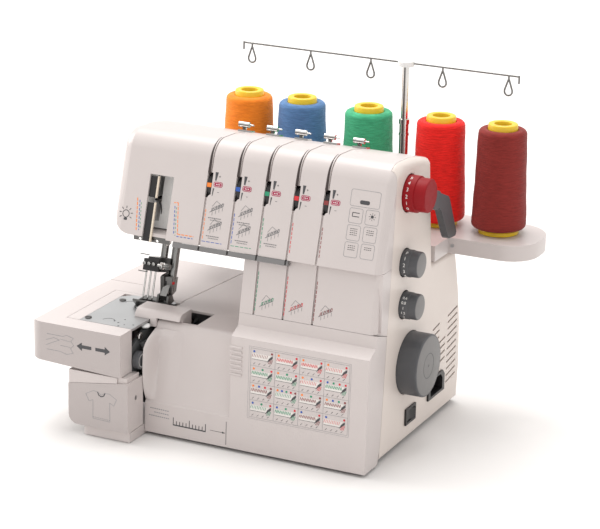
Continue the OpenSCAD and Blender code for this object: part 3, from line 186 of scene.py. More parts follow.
# %% [markdown]
# ## The plastics, rubber and metals
# The casing is a warm off-white plastic with a satin gloss. The tower's side panel is moulded apart and
# reads a shade warmer. Dials are a dark grey, the pressure dial is burgundy. Steel parts are ground, so
# their grain is stretched along the way they were ground; chrome has hardly any grain at all.

# %% Finishes of the mouldings and metals
shell = finish("shell_white", (0.565, 0.513, 0.499), 0.36, 0.010, 3200, 0.05, coat=0.12)
# A darker copy of the shell: painted shade for the front faces of the table and the block cover.
painted_shade_shell = finish("table_front_painted_shade", (0.44, 0.395, 0.385), 0.36, 0.010, 3200, 0.05, coat=0.12)
side_shell = finish("side_white", (0.67, 0.60, 0.555), 0.42, 0.010, 3200, 0.06, coat=0.08)
dial_grey = finish("dial_grey", (0.070, 0.072, 0.078), 0.42, 0.06, 2400, 0.12)
face_grey = finish("dial_face_grey", (0.165, 0.16, 0.158), 0.45, 0.05, 2400, 0.10)
rail_grey = finish("rail_grey", (0.21, 0.205, 0.205), 0.24, 0.05, 2000, 0.06, metal=0.5, coat=0.2)
burgundy = finish("burgundy", (0.26, 0.005, 0.009), 0.5, 0.06, 2400, 0.08, specular=0.2)
black = finish("black_plastic", (0.012, 0.011, 0.012), 0.36, 0.2, 2200, 0.15)
cream = finish("cream_plastic", (0.74, 0.64, 0.52), 0.40, 0.03, 2400, 0.08)
nylon = finish("white_nylon", (0.82, 0.82, 0.81), 0.38, 0.02, 2000, 0.06)
rubber = finish("foot_rubber", (0.03, 0.03, 0.032), 0.75, 0.2, 1500, 0.5)
casting = finish("frame_casting_grey", (0.16, 0.165, 0.17), 0.55, 0.12, 1200, 0.5, metal=0.6)
ground = finish("ground_steel", (0.44, 0.44, 0.445), 0.30, 0.06, 900, 0.15, metal=1.0, stretch=(1, 14, 1))
plate_steel = finish("plate_steel", (0.50, 0.505, 0.51), 0.34, 0.03, 420, 0.10, metal=1.0, stretch=(1, 26, 1))
slot_grey = finish("slot_plate_grey", (0.78, 0.77, 0.76), 0.28, 0.02, 700, 0.04)
dark_steel = finish("dark_steel", (0.13, 0.127, 0.124), 0.36, 0.1, 900, 0.2, metal=0.9)
# Chrome, bar steel and wire steel carry painted reflection bands in their base colour.
chrome = painted_reflection_metal("chrome", ((0, 0.10), (0.34, 0.16), (0.42, 0.62), (0.52, 0.72), (0.58, 0.14),
                             (0.66, 0.10), (0.74, 0.66), (0.90, 0.80), (1, 0.9)), 0.16)
bar_steel = painted_reflection_metal("bar_steel", ((0, 0.05), (0.40, 0.10), (0.50, 0.30), (0.60, 0.08), (0.75, 0.26),
                                   (1, 0.36)), 0.22)
wire_steel = painted_reflection_metal("wire_steel", ((0, 0.08), (0.40, 0.12), (0.56, 0.26), (0.70, 0.14), (1, 0.34)), 0.25)
holder_steel = finish("holder_steel", (0.24, 0.235, 0.23), 0.32, 0.05, 900, 0.1, metal=0.9)
# Near-black brown for the painted shadow strips in the arm's channels.
painted_groove_shadow = finish("painted_groove_shadow", (0.035, 0.022, 0.020), 0.5, 0.1, 900, 0.1)
red_button = finish("red_button", (0.62, 0.012, 0.012), 0.35, 0.05, 900, 0.05)
ring_grey = finish("knob_ring_grey", (0.34, 0.34, 0.34), 0.4, 0.05, 900, 0.05)
lens = finish("lamp_lens", (0.86, 0.87, 0.84), 0.22, 0.02, 1800, 0.05, coat=0.4)
yellow = finish("tube_yellow", (0.80, 0.54, 0.015), 0.36, 0.05, 1500, 0.1, coat=0.1)
print("finishes so far:", len(bpy.data.materials))

# %% [markdown]
# ## Inks
# The printed lines are thin layers of ink, made as finishes too, so that they pick up the same light as
# the plastic below them.

# %% Ink finishes
ink_colours = {
    "grey": (0.055, 0.055, 0.06), "soft_grey": (0.26, 0.26, 0.27), "mid_grey": (0.15, 0.15, 0.155),
    "orange": (0.85, 0.22, 0.03), "blue": (0.02, 0.09, 0.40), "green": (0.02, 0.27, 0.14),
    "red": (0.62, 0.02, 0.03), "maroon": (0.22, 0.03, 0.03), "badge": (0.33, 0.012, 0.06),
    "white": (0.82, 0.82, 0.80), "pale": (0.70, 0.67, 0.64),
}
inks = {name: finish("ink_" + name, colour, 0.42, 0.05, 1800, 0.05) for name, colour in ink_colours.items()}
bead_inks = ["orange", "blue", "green", "red", "maroon"]
print("inks:", ", ".join(inks))

# %% [markdown]
# ## Which finish goes on which CAD node
# A CAD node whose shape is right stays as it is. It only needs its finish, and a small bevel: no moulded
# or milled edge is perfectly sharp. The bevel is a modifier, so the CAD mesh below it doesn't change.

# %% Dress the CAD nodes
dressed = (
    (shell, "front_casing column_casing rear_casing bed_casing free_arm_casing block_cover front_cover "
            "looper_cap sewing_table spool_tray base_pan"),
    (dial_grey, "handwheel stitch_length_dial differential_dial presser_lever width_knob"),
    (black, "power_inlet switch_bezel rocker_switch take_up_lever needle_clamp motor drive_belt "
            + " ".join(f"tension_wheel_{i}" for i in range(1, 6))),
    (ground, "main_shaft motor_rotor feed_dogs lower_knife upper_knife cover_hinge casing_screws"),
    (chrome, "needles upper_looper lower_looper head_thread_guide top_thread_guides mast_tube_lower "
             "mast_tube_upper"),
    (yellow, " ".join(f"thread_cone_{i}" for i in range(1, 6))),
    (side_shell, "right_casing"), (rail_grey, "arm_thread_rail"), (burgundy, "red_dial"),
    (slot_grey, "slot_liner"), (plate_steel, "needle_plate"), (nylon, "spool_pins"),
    (rubber, "rubber_feet"), (casting, "frame_casting"), (dark_steel, "presser_foot"),
    (bar_steel, "needle_bar presser_bar"), (wire_steel, "thread_guide_bar"), (lens, "led_lamp"),
)
bevels = {
    "front_cover": 0.35, "front_casing": 0.7, "column_casing": 0.6, "rear_casing": 1.0, "sewing_table": 1.2,
    "block_cover": 1.0, "free_arm_casing": 0.8, "looper_cap": 0.9, "bed_casing": 0.6, "spool_tray": 1.2,
    "right_casing": 0.5, "presser_lever": 0.8, "presser_foot": 0.25,
    "needle_clamp": 0.4, "frame_casting": 0.5, "switch_bezel": 0.3, "power_inlet": 0.3, "rocker_switch": 0.3,
    "head_thread_guide": 0.12, "arm_thread_rail": 0.3,
}


def dress(name, material):
    o = nodes[name]
    o.data.materials.clear()
    o.data.materials.append(material)
    if name in bevels:
        weld = o.modifiers.new("weld", "WELD")
        weld.merge_threshold = 0.00001
        bevel = o.modifiers.new("soft_edge", "BEVEL")
        bevel.width = bevels[name] * mm
        bevel.segments = 2
        bevel.limit_method = "ANGLE"
        bevel.angle_limit = radians(40)
        for polygon in o.data.polygons:
            polygon.use_smooth = True
        even = o.modifiers.new("even_shading", "WEIGHTED_NORMAL")
        even.keep_sharp = False
        even.weight = 90


for material, names in dressed:
    for name in names.split():
        dress(name, material)
print("dressed nodes:", sum(len(names.split()) for material, names in dressed))

# %% [markdown]
# Some nodes are one solid in the CAD model but two materials in the hand. The white hub of the thread
# stand and the dark screws of the needle plate get a second finish, face by face, chosen by where each
# face lies. The front faces of the table and the block cover get a darker copy of the same plastic. It is
# painted shade, which stands in for the shade that a real room would throw on them.

# %% Second finishes
def second_finish(name, material, chosen):
    o = nodes[name]
    o.data.materials.append(material)
    for polygon in o.data.polygons:
        if chosen(polygon.center / mm, polygon.normal):
            polygon.material_index = 1


mast_at = Vector((right_x - 56, back_y - 10, 0))
second_finish("thread_guide_bar", nylon, lambda c, n: (c.xy - mast_at.xy).length < 7.6 and c.z > 291)
second_finish("casing_screws", dark_steel, lambda c, n: c.z > bed_h - 5 and c.x < -90)
clamp_front = 47.4
second_finish("needle_clamp", chrome,
              lambda c, n: (c.y - face_foot) * cos(lean) - (c.z - arm_under) * sin(lean) < clamp_front)
# Painted shade: the front faces of the table and the block cover take the darker copy of the shell.
for name in ("sewing_table", "block_cover"):
    second_finish(name, painted_shade_shell, lambda c, n: n.y < -0.7)
print("nodes with a second finish:", 5)

# %% [markdown]
# ## Making a piece from vertices and faces
# Blender's mesh is a list of points and a list of faces that join them. This helper takes points in
# millimetres, makes the object, gives it its finish and its name, and hangs it on the CAD body that it
# moves with. Every new piece below goes through it.

# %% Helper: one piece
def piece(name, points, faces, material, body="machine", slot=None, smooth=True):
    mesh = bpy.data.meshes.new(name)
    mesh.from_pydata([Vector(p) * mm for p in points], [], faces)
    mesh.validate()
    mesh.materials.append(material)
    for polygon in mesh.polygons:
        polygon.use_smooth = smooth
    if smooth:
        mesh.set_sharp_from_angle(angle=radians(35))
    o = add(name, mesh)
    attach(o, body)
    return o


def around(x, y, r, a):
    return (x + r * cos(a), y + r * sin(a))


def rect(x0, x1, y0, y1):
    return [(x0, y0), (x1, y0), (x1, y1), (x0, y1)]

# %% [markdown]
# Three forms cover nearly every piece. A lathe turns a profile about an axis, a loft runs through sections
# that have the same number of points, and a slab is a plate with chamfered edges, lofted from its outline.

# %% Helper: turned, lofted and flat forms
def bands(rings, n):
    return [(k * n + i, k * n + (i + 1) % n, (k + 1) * n + (i + 1) % n, (k + 1) * n + i)
            for k in range(rings - 1) for i in range(n)]


def lathe(rings, steps, place, axis="Z", radius_at=None):
    """Points and faces of a turned form. Each ring is (radius, height)."""
    points = []
    for r, h in rings:
        for i in range(steps):
            a = 2 * pi * i / steps
            x, y = around(0, 0, radius_at(r, h, a) if radius_at else r, a)
            p = (x, y, h) if axis == "Z" else (h, x, y)
            points.append((p[0] + place[0], p[1] + place[1], p[2] + place[2]))
    return points, bands(len(rings), steps)


def turned(name, axis_at, rings, steps, material, body="machine", slot=None, x=0, radius_at=None, smooth=True):
    """A piece turned about a line along X. Its axis goes through axis_at, which is (Y, Z)."""
    return piece(name, *lathe(rings, steps, (x, *axis_at), "X", radius_at), material, body, slot, smooth)


def loft(sections):
    n = len(sections[0])
    caps = [tuple(range(n - 1, -1, -1)), tuple(range((len(sections) - 1) * n, len(sections) * n))]
    return [p for section in sections for p in section], caps + bands(len(sections), n)


def slab(outline, place, low, high, chamfer=0.3):
    """The outline's (a, b) and the height h are set in space by place."""
    middle = Vector((sum(a for a, b in outline), sum(b for a, b in outline))) / len(outline)
    way = 1 if high > low else -1
    sections = []
    for h, inset in ((low, chamfer), (low + way * chamfer, 0), (high - way * chamfer, 0), (high, chamfer)):
        sections.append([])
        for a, b in outline:
            to_middle = (middle - Vector((a, b))).normalized() * inset
            sections[-1].append(tuple(place(a + to_middle.x, b + to_middle.y, h)))
    return loft(sections)

# %% [markdown]
# ## Cones of thread
# An overlock cone is a hollow plastic tube with thread wound over it in crossing helices. A smooth turned
# form would look like paint, so the wound body is a fine grid, and each point's radius follows two helices
# that run against each other, plus a slow swell from the winding. The thread's finish is a cloth-like
# shader with sheen.

# %% Thread finish
def thread_finish(name, colour):
    material, tree, shader = shader_of(name, {
        "Sheen Weight": 0.10, "Sheen Roughness": 0.4, "Specular IOR Level": 0.15})
    tone(tree, shader, noise(tree, 150, 5, (1, 1, 9)), colour, 0.20)
    gloss(tree, shader, noise(tree, 300, 3, (1, 1, 6)), 0.55, 0.72)
    grain(tree, shader, noise(tree, 900, 4, (1, 1, 14)), 0.55, 0.0003)
    return material


thread_colours = [(0.98, 0.24, 0.022), (0.095, 0.20, 0.40), (0.06, 0.40, 0.20), (0.78, 0.018, 0.014),
                  (0.22, 0.024, 0.020)]
slots = ["thread_orange", "thread_blue", "thread_green", "thread_red", "thread_brown"]
threads = [thread_finish(s, c) for s, c in zip(slots, thread_colours)]
print("threads:", ", ".join(slots))

# %% [markdown]
# The yellow tube is turned as a thin wall with a rolled rim, open at the top. Each cone's winding starts at
# another phase, so that no two cones look alike.

# %% Wound thread and tubes
cone_h, cone_r, tube_r = 94.0, 23.2, 13.4


def wound(r, h, a, seed):
    if r < tube_r:
        return r
    crossing = 0.07 * sin(2 * pi * h / 1.7 + 3 * a + seed)
    crossing += 0.06 * sin(2 * pi * h / 2.3 - 4 * a + 2 * seed)
    swell = 0.14 * sin(h / 9.0 + 2 * a + seed) + 0.10 * sin(h / 3.7 - a + 3 * seed)
    return r + crossing + swell - 0.2


def thread_rings():
    rings = [(15.4, 4.4), (cone_r - 3.0, 4.6), (cone_r - 1.4, 5.2), (cone_r - 0.4, 6.4)]
    low, high = 8.0, cone_h - 8.4
    count = 190
    for i in range(count + 1):
        t = i / count
        rings.append((cone_r - 2.7 * t, low + (high - low) * t))
    for a in range(15, 91, 15):
        rings.append(around(cone_r - 6.7, high, 4.0, radians(a)))
    return rings + [(14.6, cone_h - 4.3), (13.0, cone_h - 4.8)]


tube_rings = [(14.2, 0), (17.1, 0), (17.2, 0.6), (17.1, 3.0), (16.2, 3.9), (12.7, cone_h - 5),
              (12.5, cone_h - 1.2), (12.1, cone_h - 0.3), (11.4, cone_h), (8.1, cone_h), (7.5, cone_h - 0.3),
              (7.2, cone_h - 1.2), (7.2, cone_h - 12), (10.8, cone_h - 13), (13.8, 1.5), (14.2, 0)]
for i in range(5):
    place = (cone_x[i], cone_y, tray_top + 0.3)
    spool = piece(f"thread_tube_{i + 1}", *lathe(tube_rings, 64, place), yellow)
    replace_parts(spool, f"thread_cone_{i + 1}")
    winding = lathe(thread_rings(), 110, place, radius_at=lambda r, h, a, s=i * 1.3: wound(r, h, a, s))
    piece(f"wound_thread_{i + 1}", *winding, threads[i], slot=slots[i])
print("cones of thread:", 5)

# %% [markdown]
# ## Printing on a flat face
# A print is a set of flat shapes on a face. Each face is described by how a drawing's (across, up) lands
# on it, and each shape becomes a very thin closed slab, so it stays a real surface from every side.
# `in_head` goes straight into the head from a place on its face.

# %% Helper: faces that are printed on
def head_face(u, v):
    return Vector((u, face_foot + v * sin(lean), arm_under + v * cos(lean)))


def in_head(u, v, depth):
    return head_face(u, v) + into_head * depth


def column_face(u, v):
    return Vector((u, front_y + 17 + (v - cover_top) * 0.19, v))


def cover_face(u, v):
    return Vector((u, front_y + (v - base_z) * 3.7 / 96, v))


def band_face(u, v):
    return Vector((u, front_y + (v - base_z) / 26, v))


def table_front(u, v):
    return Vector((u, -128.25, v))


def block_front(u, v):
    return Vector((u, front_y - 27.5, v))


def plate_top(u, v):
    return Vector((u, v, bed_h))


def printed(name, face, shapes, ink, body="machine", lift=0.02, thick=0.06):
    across, up = face(1, 0) - face(0, 0), face(0, 1) - face(0, 0)
    out = across.cross(up).normalized()
    points, faces = [], []
    for shape in shapes:
        start, n = len(points), len(shape)
        points += [tuple(face(u, v) + out * (lift + thick)) for u, v in shape]
        points += [tuple(face(u, v) + out * lift) for u, v in shape]
        faces.append(tuple(start + i for i in range(n)))
        faces.append(tuple(start + 2 * n - 1 - i for i in range(n)))
        for i in range(n):
            j = (i + 1) % n
            faces.append((start + j, start + i, start + n + i, start + n + j))
    return piece(name, points, faces, inks[ink], body, smooth=False)

# %% [markdown]
# Strips, dashes, dots and rounded frames are enough for every line on this machine. A shape is drawn once,
# near zero, and then moved to each place that needs it.

# %% Helper: strips, dashes, dots and frames
def moved(shape, x, y):
    return [(x + a, y + b) for a, b in shape]


def strip(a, b, w):
    d = Vector((b[0] - a[0], b[1] - a[1]))
    s = Vector((-d.y, d.x)).normalized() * w / 2
    return [(b[0] - s.x, b[1] - s.y), (b[0] + s.x, b[1] + s.y), (a[0] + s.x, a[1] + s.y),
            (a[0] - s.x, a[1] - s.y)]


def dashes(a, b, w, dash, space):
    d = Vector((b[0] - a[0], b[1] - a[1]))
    length, d = d.length, d.normalized()
    found, at = [], 0.0
    while at < length - 0.2:
        end = min(length, at + dash)
        found.append(strip((a[0] + d.x * at, a[1] + d.y * at), (a[0] + d.x * end, a[1] + d.y * end), w))
        at += dash + space
    return found


def line(points, w):
    return [strip(points[i], points[i + 1], w) for i in range(len(points) - 1)]


def dot(x, y, r, n=14):
    return [around(x, y, r, 2 * pi * i / n) for i in range(n)]


def rounded(x0, y0, x1, y1, r, n=5):
    shape = []
    corners = ((x1 - r, y1 - r), (x0 + r, y1 - r), (x0 + r, y0 + r), (x1 - r, y0 + r))
    for k, (x, y) in enumerate(corners):
        shape += [around(x, y, r, radians(90 * k + 90 * i / n)) for i in range(n + 1)]
    return shape


def frame_of(shape, w):
    return [strip(shape[i], shape[(i + 1) % len(shape)], w) for i in range(len(shape))]

# %% [markdown]
# ## Lines that show the thread's way
# Each thread has its own colour, and a broken line of that colour runs down the panel beside its channel,
# then on down the column for the three looper threads. Beside each window there is a scale: a wedge that
# narrows towards a badge, a thin wedge below it, and a plus and a minus.

# %% Thread ways on the panels and the column
for i, ink in enumerate(bead_inks):
    x = channel_x[i]
    shapes = dashes((x + 1.5, 30.5), (x + 1.9, 6.0), 0.55, 2.6, 1.0)
    printed(f"thread_way_{i + 1}", head_face, shapes, ink)
    if i > 1:
        shapes = dashes((x + 1.2, 150), (x + 0.7, 118.2), 0.55, 2.6, 1.0)
        printed(f"column_way_{i + 1}", column_face, shapes, ink)

marks = []
for x in channel_x:
    marks += [moved([(6.1, 54.4), (7.3, 54.4), (8.4, 61.3), (5.6, 61.3)], x, 0),
              moved([(5.1, 41.6), (5.5, 41.6), (6.3, 48.0), (5.0, 48.0)], x, 0),
              strip((x + 9.2, 58.0), (x + 10.8, 58.0), 0.35), strip((x + 10.0, 57.2), (x + 10.0, 58.8), 0.35),
              strip((x + 9.4, 45.2), (x + 11.0, 45.2), 0.35)]
printed("tension_scales", head_face, marks, "grey")
badges = [rounded(x + 5.2, 49.3, x + 13.4, 53.6, 1.5) for x in channel_x]
printed("tension_badges", head_face, badges, "badge")
badge_marks = []
for x in channel_x:
    badge_marks += frame_of(rounded(x + 5.9, 50.0, x + 12.7, 52.9, 1.0, 3), 0.22)
    badge_marks += [dot(x + 7.9 + 1.4 * k, 51.45, 0.42, 10) for k in range(3)]
printed("badge_marks", head_face, badge_marks, "white", lift=0.09)
print("thread ways and tension scales:", len(channel_x))

# %% [markdown]
# ## Small threading sketches
# Under the scales there are little sketches of a folded edge with the thread looping over it: a slanting
# cloth edge, loops across it, and the coloured stitch.

# %% Threading sketches
def sketch(x, y, w, loops):
    slope = 0.52
    lines = line([(x, y), (x + w, y + w * slope)], 0.45)
    lines += line([(x + 0.15 * w, y + 0.42 * w), (x + 0.45 * w, y + 0.85 * w), (x + w, y + 0.5 * w)], 0.3)
    for k in range(5):
        hx = x + w * (0.2 + 0.15 * k)
        hy = y + (hx - x) * slope
        lines += line([(hx, hy + 0.06 * w), (hx + 0.14 * w, hy + 0.34 * w)], 0.34)
    coloured = []
    for k in range(loops):
        bx = x + w * (0.12 + 0.76 * k / max(1, loops - 1))
        by = y + (bx - x) * slope
        coloured += line([(bx, by), (bx + 0.05 * w, by + 0.24 * w), (bx + 0.14 * w, by + 0.28 * w),
                          (bx + 0.12 * w, by + 0.06 * w)], 0.45)
        lines += line([(bx + 0.1 * w, by - 0.02 * w), (bx + 0.1 * w, by - 0.26 * w)], 0.32)
    return lines, coloured


sketch_w = 11.5
places = [(0, 5.0, 28.4), (0, 5.4, 13.6), (1, 5.0, 28.4), (1, 5.4, 13.6), (2, 5.0, 15.0)]
grey_lines = []
for channel, dx, v in places:
    left = channel_x[channel] + dx
    a, b = sketch(left, v, sketch_w, 4)
    grey_lines += a + b
    grey_lines += dashes((left - 0.5, v - 4.4), (left + 11.5, v - 4.4), 0.7, 1.3, 0.4)
    grey_lines += dashes((left + 1.5, v - 6.1), (left + 10.5, v - 6.1), 0.7, 0.9, 0.5)
printed("panel_sketches", head_face, grey_lines, "mid_grey")
grey_lines = []
for channel, ink in ((2, "green"), (3, "red"), (4, "maroon")):
    a, b = sketch(channel_x[channel] + 4.6, 122.4, sketch_w, 4)
    grey_lines += a
    printed(f"column_stitch_{channel + 1}", column_face, b, ink)
printed("column_sketches", column_face, grey_lines, "mid_grey")
print("threading sketches:", len(places) + 3)

# %% [markdown]
# Left of the channels, three needle threads run down beside the take-up slot. Each run of dashes has its
# start, its end, its width, and the length of a dash and of a space. A lamp sign stands at the head's left.

# %% Ways beside the take-up slot
x0, x1 = channel_x[:2]
needle_ways = {
    "orange": [((-112.2, 31.0), (-109.6, 4.4), 0.8, 2.6, 0.9), ((-78.3, 31.6), (-74.6, 32.0), 0.7, 1.6, 0.6),
               ((-74.5, 32.0), (-71.4, 6.6), 0.7, 2.6, 0.9), ((-71.2, 6.5), (-56.6, 6.6), 0.7, 2.6, 0.9)],
    "blue": [((-109.8, 29.5), (-107.4, 4.7), 0.6, 2.2, 1.2), ((-77.1, 29.0), (-74.9, 5.9), 0.6, 2.2, 1.2),
             ((-72.0, 4.6), (-57.0, 4.7), 0.6, 2.2, 1.2), ((x0 + 1.6, 4.4), (x0 + 19.8, 4.4), 0.5, 3.2, 1.0)],
    "green": [((-108.3, 27.5), (-106.2, 5.5), 0.5, 1.6, 1.6), ((-75.6, 28.0), (-73.4, 5.0), 0.5, 1.6, 1.6),
              ((x1 + 1.8, 4.4), (x1 + 20.2, 4.6), 0.5, 3.2, 1.0)],
}
for ink, runs in needle_ways.items():
    printed(f"needle_way_{ink}", head_face, [dash for run in runs for dash in dashes(*run)], ink)
lamp_x, lamp_v = -121.0, 16.5
lamp_sign = frame_of(dot(lamp_x, lamp_v, 3.0, 20), 0.6) + [rounded(-122.6, 11.2, -119.4, 13.2, 0.5, 3)]
for a in range(-30, 211, 40):
    a = radians(a)
    lamp_sign.append(strip(around(lamp_x, lamp_v, 4.4, a), around(lamp_x, lamp_v, 6.4, a), 0.6))
printed("lamp_sign", head_face, lamp_sign, "grey")
print("printed ways on the head")

# %% [markdown]
# ## Boxes with plain marks
# The right end of the face carries a group of rounded boxes without lettering. Each holds a plain mark.

# %% Boxes on the face
boxes = [(76.2, 51.4, 101.6, 64.6)]
for low, high in ((37.9, 49.7), (24.2, 36.2), (10.8, 22.6)):
    boxes += [(76.9, low, 88.3, high), (91.0, low + 0.2, 102.4, high + 0.2)]
lines = []
for x0, y0, x1, y1 in boxes:
    lines += frame_of(rounded(x0, y0, x1, y1, 1.6, 4), 0.3)
printed("feature_boxes", head_face, lines, "soft_grey")
signs = [rounded(84.6, 53.4, 93.0, 56.6, 1.2, 4)]
for k, (x0, y0, x1, y1) in enumerate(boxes[1:]):
    cx, cy = (x0 + x1) / 2, (y0 + y1) / 2 + 0.8
    if k == 0:
        signs += line([(cx - 3, cy - 1.5), (cx - 3, cy + 1.5), (cx + 3, cy + 1.5)], 0.6)
        signs += line([(cx - 3, cy - 1.5), (cx + 3, cy - 1.5)], 0.6)
    elif k == 1:
        signs += [dot(cx, cy, 1.3)] + [strip(around(cx, cy, 2.0, a), around(cx, cy, 3.0, a), 0.4)
                                       for a in (i * pi / 4 for i in range(8))]
    else:
        rows = {2: 4, 3: 3, 4: 3, 5: 2}[k]
        for r in range(rows):
            y = cy + 2.4 - r * 1.6
            signs += dashes((cx - 3, y), (cx + 3, y), 0.5, 1.2, 0.5)
printed("feature_signs", head_face, signs, "grey")
print("boxes:", len(boxes))

# %% [markdown]
# ## The stitch chart on the front cover
# The chart is a grid of sixteen cells. Each cell shows which needles and loopers are threaded, as coloured
# dots, above a strip of cloth with the stitch worked on it. Tables of colour letters drive the loop, so a
# cell can be changed in one place.

# %% Stitch chart
cells = ["bm or or or", "ogr ogr obr bgrr", "obrm obgrm ogm obgm", "bgr bgr br br"]
stitch = ["mrrr", "ggrg", "mgmm", "ggmr"]
letter = {"o": "orange", "b": "blue", "g": "green", "r": "red", "m": "maroon"}
chart = {name: [] for name in list(letter.values()) + ["soft_grey", "pale", "grey"]}
x0, x1, y0, y1 = 7.4, 95.0, 33.6, 92.0
cell_w, cell_h = (x1 - x0) / 4, (y1 - y0) / 4
for k in range(5):
    chart["soft_grey"].append(strip((x0 + k * cell_w, y0), (x0 + k * cell_w, y1), 0.2))
    chart["soft_grey"].append(strip((x0, y0 + k * cell_h), (x1, y0 + k * cell_h), 0.2))
for row in range(4):
    for column, used in enumerate(cells[row].split()):
        cx, cy = x0 + column * cell_w, y1 - (row + 1) * cell_h
        for k, c in enumerate(used):
            at = cx + 3 + k * (cell_w - 6) / max(1, len(used) - 1)
            chart[letter[c]].append(dot(at, cy + cell_h - 2.4, 0.95, 10))
        chart["pale"].append(moved([(1, 5.6), (15.5, 5.6), (18, 10.6), (1, 10.6)], cx, cy))
        chart["grey"] += line(moved([(1, 5.6), (15.5, 5.6)], cx, cy), 0.3)
        colour = letter[stitch[row][column]]
        zig = []
        for k in range(10):
            zig += line(moved([(1.2, 7.4), (1.9, 10.2), (2.65, 7.4)], cx + 1.45 * k, cy), 0.34)
        chart[colour] += zig if (row + column) % 3 else zig[::2]
        chart["grey"].append(moved([(14.5, 4.4), (19.6, 8.4), (19.6, 10.8), (16.4, 8.2)], cx, cy))
        for k in range(3):
            chart[colour].append(strip((cx + 15.8 + 1.2 * k, cy + 3.6), (cx + 17.6 + 1.0 * k, cy + 7.4), 0.4))
        for k in range(4):
            chart["grey"].append(strip((cx + 2.4 + k * 4.6, cy + 1.2), (cx + 4.0 + k * 4.6, cy + 2.8), 0.35))
for name, shapes in chart.items():
    if shapes:
        printed(f"stitch_chart_{name}", cover_face, shapes, name, "front_cover",
                lift=0.02 if name == "pale" else 0.07)
chart_edge = frame_of(rect(x0 - 1.6, x1 + 1.2, y0 - 1.4, y1 + 1.4), 0.16)
printed("stitch_chart_edge", cover_face, chart_edge, "soft_grey", "front_cover")
print("stitch chart cells:", sum(len(row) for row in stitch))

# %% [markdown]
# ## Signs on the table, the block cover and the lower band
# Two bold arrows on the table's front show that it slides off. The sketches beside and below them are
# drawn plainly: a sleeve on a board, and a shirt. The cover's lower band has a ruler and plain caption bars.

# %% Signs on the front
def arrow(x0, x1, y):
    way = 1 if x1 > x0 else -1
    head = x1 - way * 5
    return [rect(x0, head, y - 1.45, y + 1.45)[::way], [(head, y - 3.7), (x1, y), (head, y + 3.7)][::way]]


arrows = arrow(-122.6, -136.5, 78.6) + arrow(-118.8, -105.0, 78.6)
printed("table_arrows", table_front, arrows, "grey", "table")
sleeve = line([(-165, 84.5), (-149.5, 84.5), (-146, 86), (-139.5, 84.4), (-142.0, 81.4), (-139.4, 78.2),
               (-142.4, 75.0), (-139.8, 71.4), (-146, 69.4), (-153, 71.0), (-165, 71.0)], 0.35)
sleeve += line([(-152, 81.8), (-142.4, 80.8)], 0.3) + line([(-152, 76.4), (-142.4, 76.0)], 0.3)
sleeve += line([(-166, 79.0), (-158, 82.0), (-153, 80.6), (-158, 78.4), (-166, 74.4)], 0.35)
printed("table_sleeve", table_front, sleeve, "soft_grey", "table")
shirt = line([(-128.7, 38.0), (-121.6, 41.8), (-117.6, 41.4), (-114.2, 39.0), (-110.6, 41.2), (-106.6, 41.4),
              (-99.6, 37.6), (-102.4, 31.6), (-106.2, 33.6), (-106.0, 17.0)], 0.35)
shirt += line([(-122.2, 17.6), (-122.0, 33.8), (-125.8, 32.0), (-128.7, 38.0)], 0.35)
shirt += dashes((-122.2, 18.8), (-106.0, 18.2), 0.5, 1.0, 0.7) + line([(-122.2, 17.4), (-106.0, 16.8)], 0.35)
printed("block_shirt", block_front, shirt, "soft_grey")
collar = line([(-117.6, 41.4), (-116.6, 38.8), (-114.2, 37.6), (-111.8, 38.6), (-110.6, 41.2)], 0.9)
printed("block_collar", block_front, collar, "grey")
ruler = [strip((-27.7, 15.0), (-14.4, 14.9), 0.35), [(-16.6, 14.1), (-13.4, 14.9), (-16.6, 15.8)],
         strip((-13.0, 25.0), (-12.9, 5.2), 0.45)]
for k in range(11):
    x, sag = -62 + 3 * k, 0.02 * k
    ruler.append(strip((x, 13.4 - sag), (x, (16.8 if k % 5 else 19.6) - sag), 0.7))
ruler.append(strip((-62.35, 13.2), (-31.65, 12.9), 1.1))
printed("band_ruler", band_face, ruler, "grey", "front_cover")
captions = []
for x, y in ((-84, 24.4), (-80, 21.2), (-85, 18.0)):
    captions += dashes((x, y), (-66, y - 0.4), 0.8, 1.5, 0.5)
printed("band_caption_bars", band_face, captions, "soft_grey", "front_cover")
print("signs on the table, the block cover and the band")

# %% [markdown]
# ## Beads on the tension wheels
# A coloured bead on each black wheel shows the setting through its window. Each bead is a short arc of
# ring, wrapped on the wheel's rim, and it rides on the wheel so that it turns with it.

# %% Tension beads
wheel_r, bead_steps = 13.0, 8
bead_section = ((-0.2, -1.96), (0.32, -1.96), (0.32, 1.96), (-0.2, 1.96))
for i, ink in enumerate(bead_inks):
    middle = in_head(channel_x[i] + 1.2, 50.25, wheel_r + 0.5)
    sections = []
    for k in range(bead_steps + 1):
        a = radians(-7.5 + 15 * k / bead_steps)
        out = up_face * sin(a) - into_head * cos(a)
        sections.append([middle + out * (wheel_r + high) + Vector((x, 0, 0)) for high, x in bead_section])
    piece(f"tension_bead_{i + 1}", *loft(sections), inks[ink], f"tension_wheel_{i + 1}", smooth=False)
print("beads:", len(bead_inks))

# %% [markdown]
# ## Numbers on the dials
# Dials carry plain numbers round their skirts. Blender's built-in font gives the outlines; they are turned
# into a mesh, and each point is then wrapped on the dial's cylinder, so the numbers curve with it.

# %% Helper: wrap a number on a dial
def number_mesh(text, size):
    curve = bpy.data.curves.new("number_" + text, "FONT")
    curve.body, curve.size, curve.extrude = text, size, 0.04
    curve.align_x = curve.align_y = "CENTER"
    o = add("number_" + text, curve)
    bpy.context.view_layer.update()
    mesh = bpy.data.meshes.new_from_object(o.evaluated_get(bpy.context.evaluated_depsgraph_get()))
    cutter = bmesh.new()
    cutter.from_mesh(mesh)
    bmesh.ops.triangulate(cutter, faces=cutter.faces)
    bmesh.ops.subdivide_edges(cutter, edges=cutter.edges, cuts=3, use_grid_fill=True)
    points = [tuple(v.co) for v in cutter.verts]
    faces = [tuple(v.index for v in f.verts) for f in cutter.faces]
    cutter.free()
    bpy.data.objects.remove(o)
    bpy.data.meshes.remove(mesh)
    return points, faces


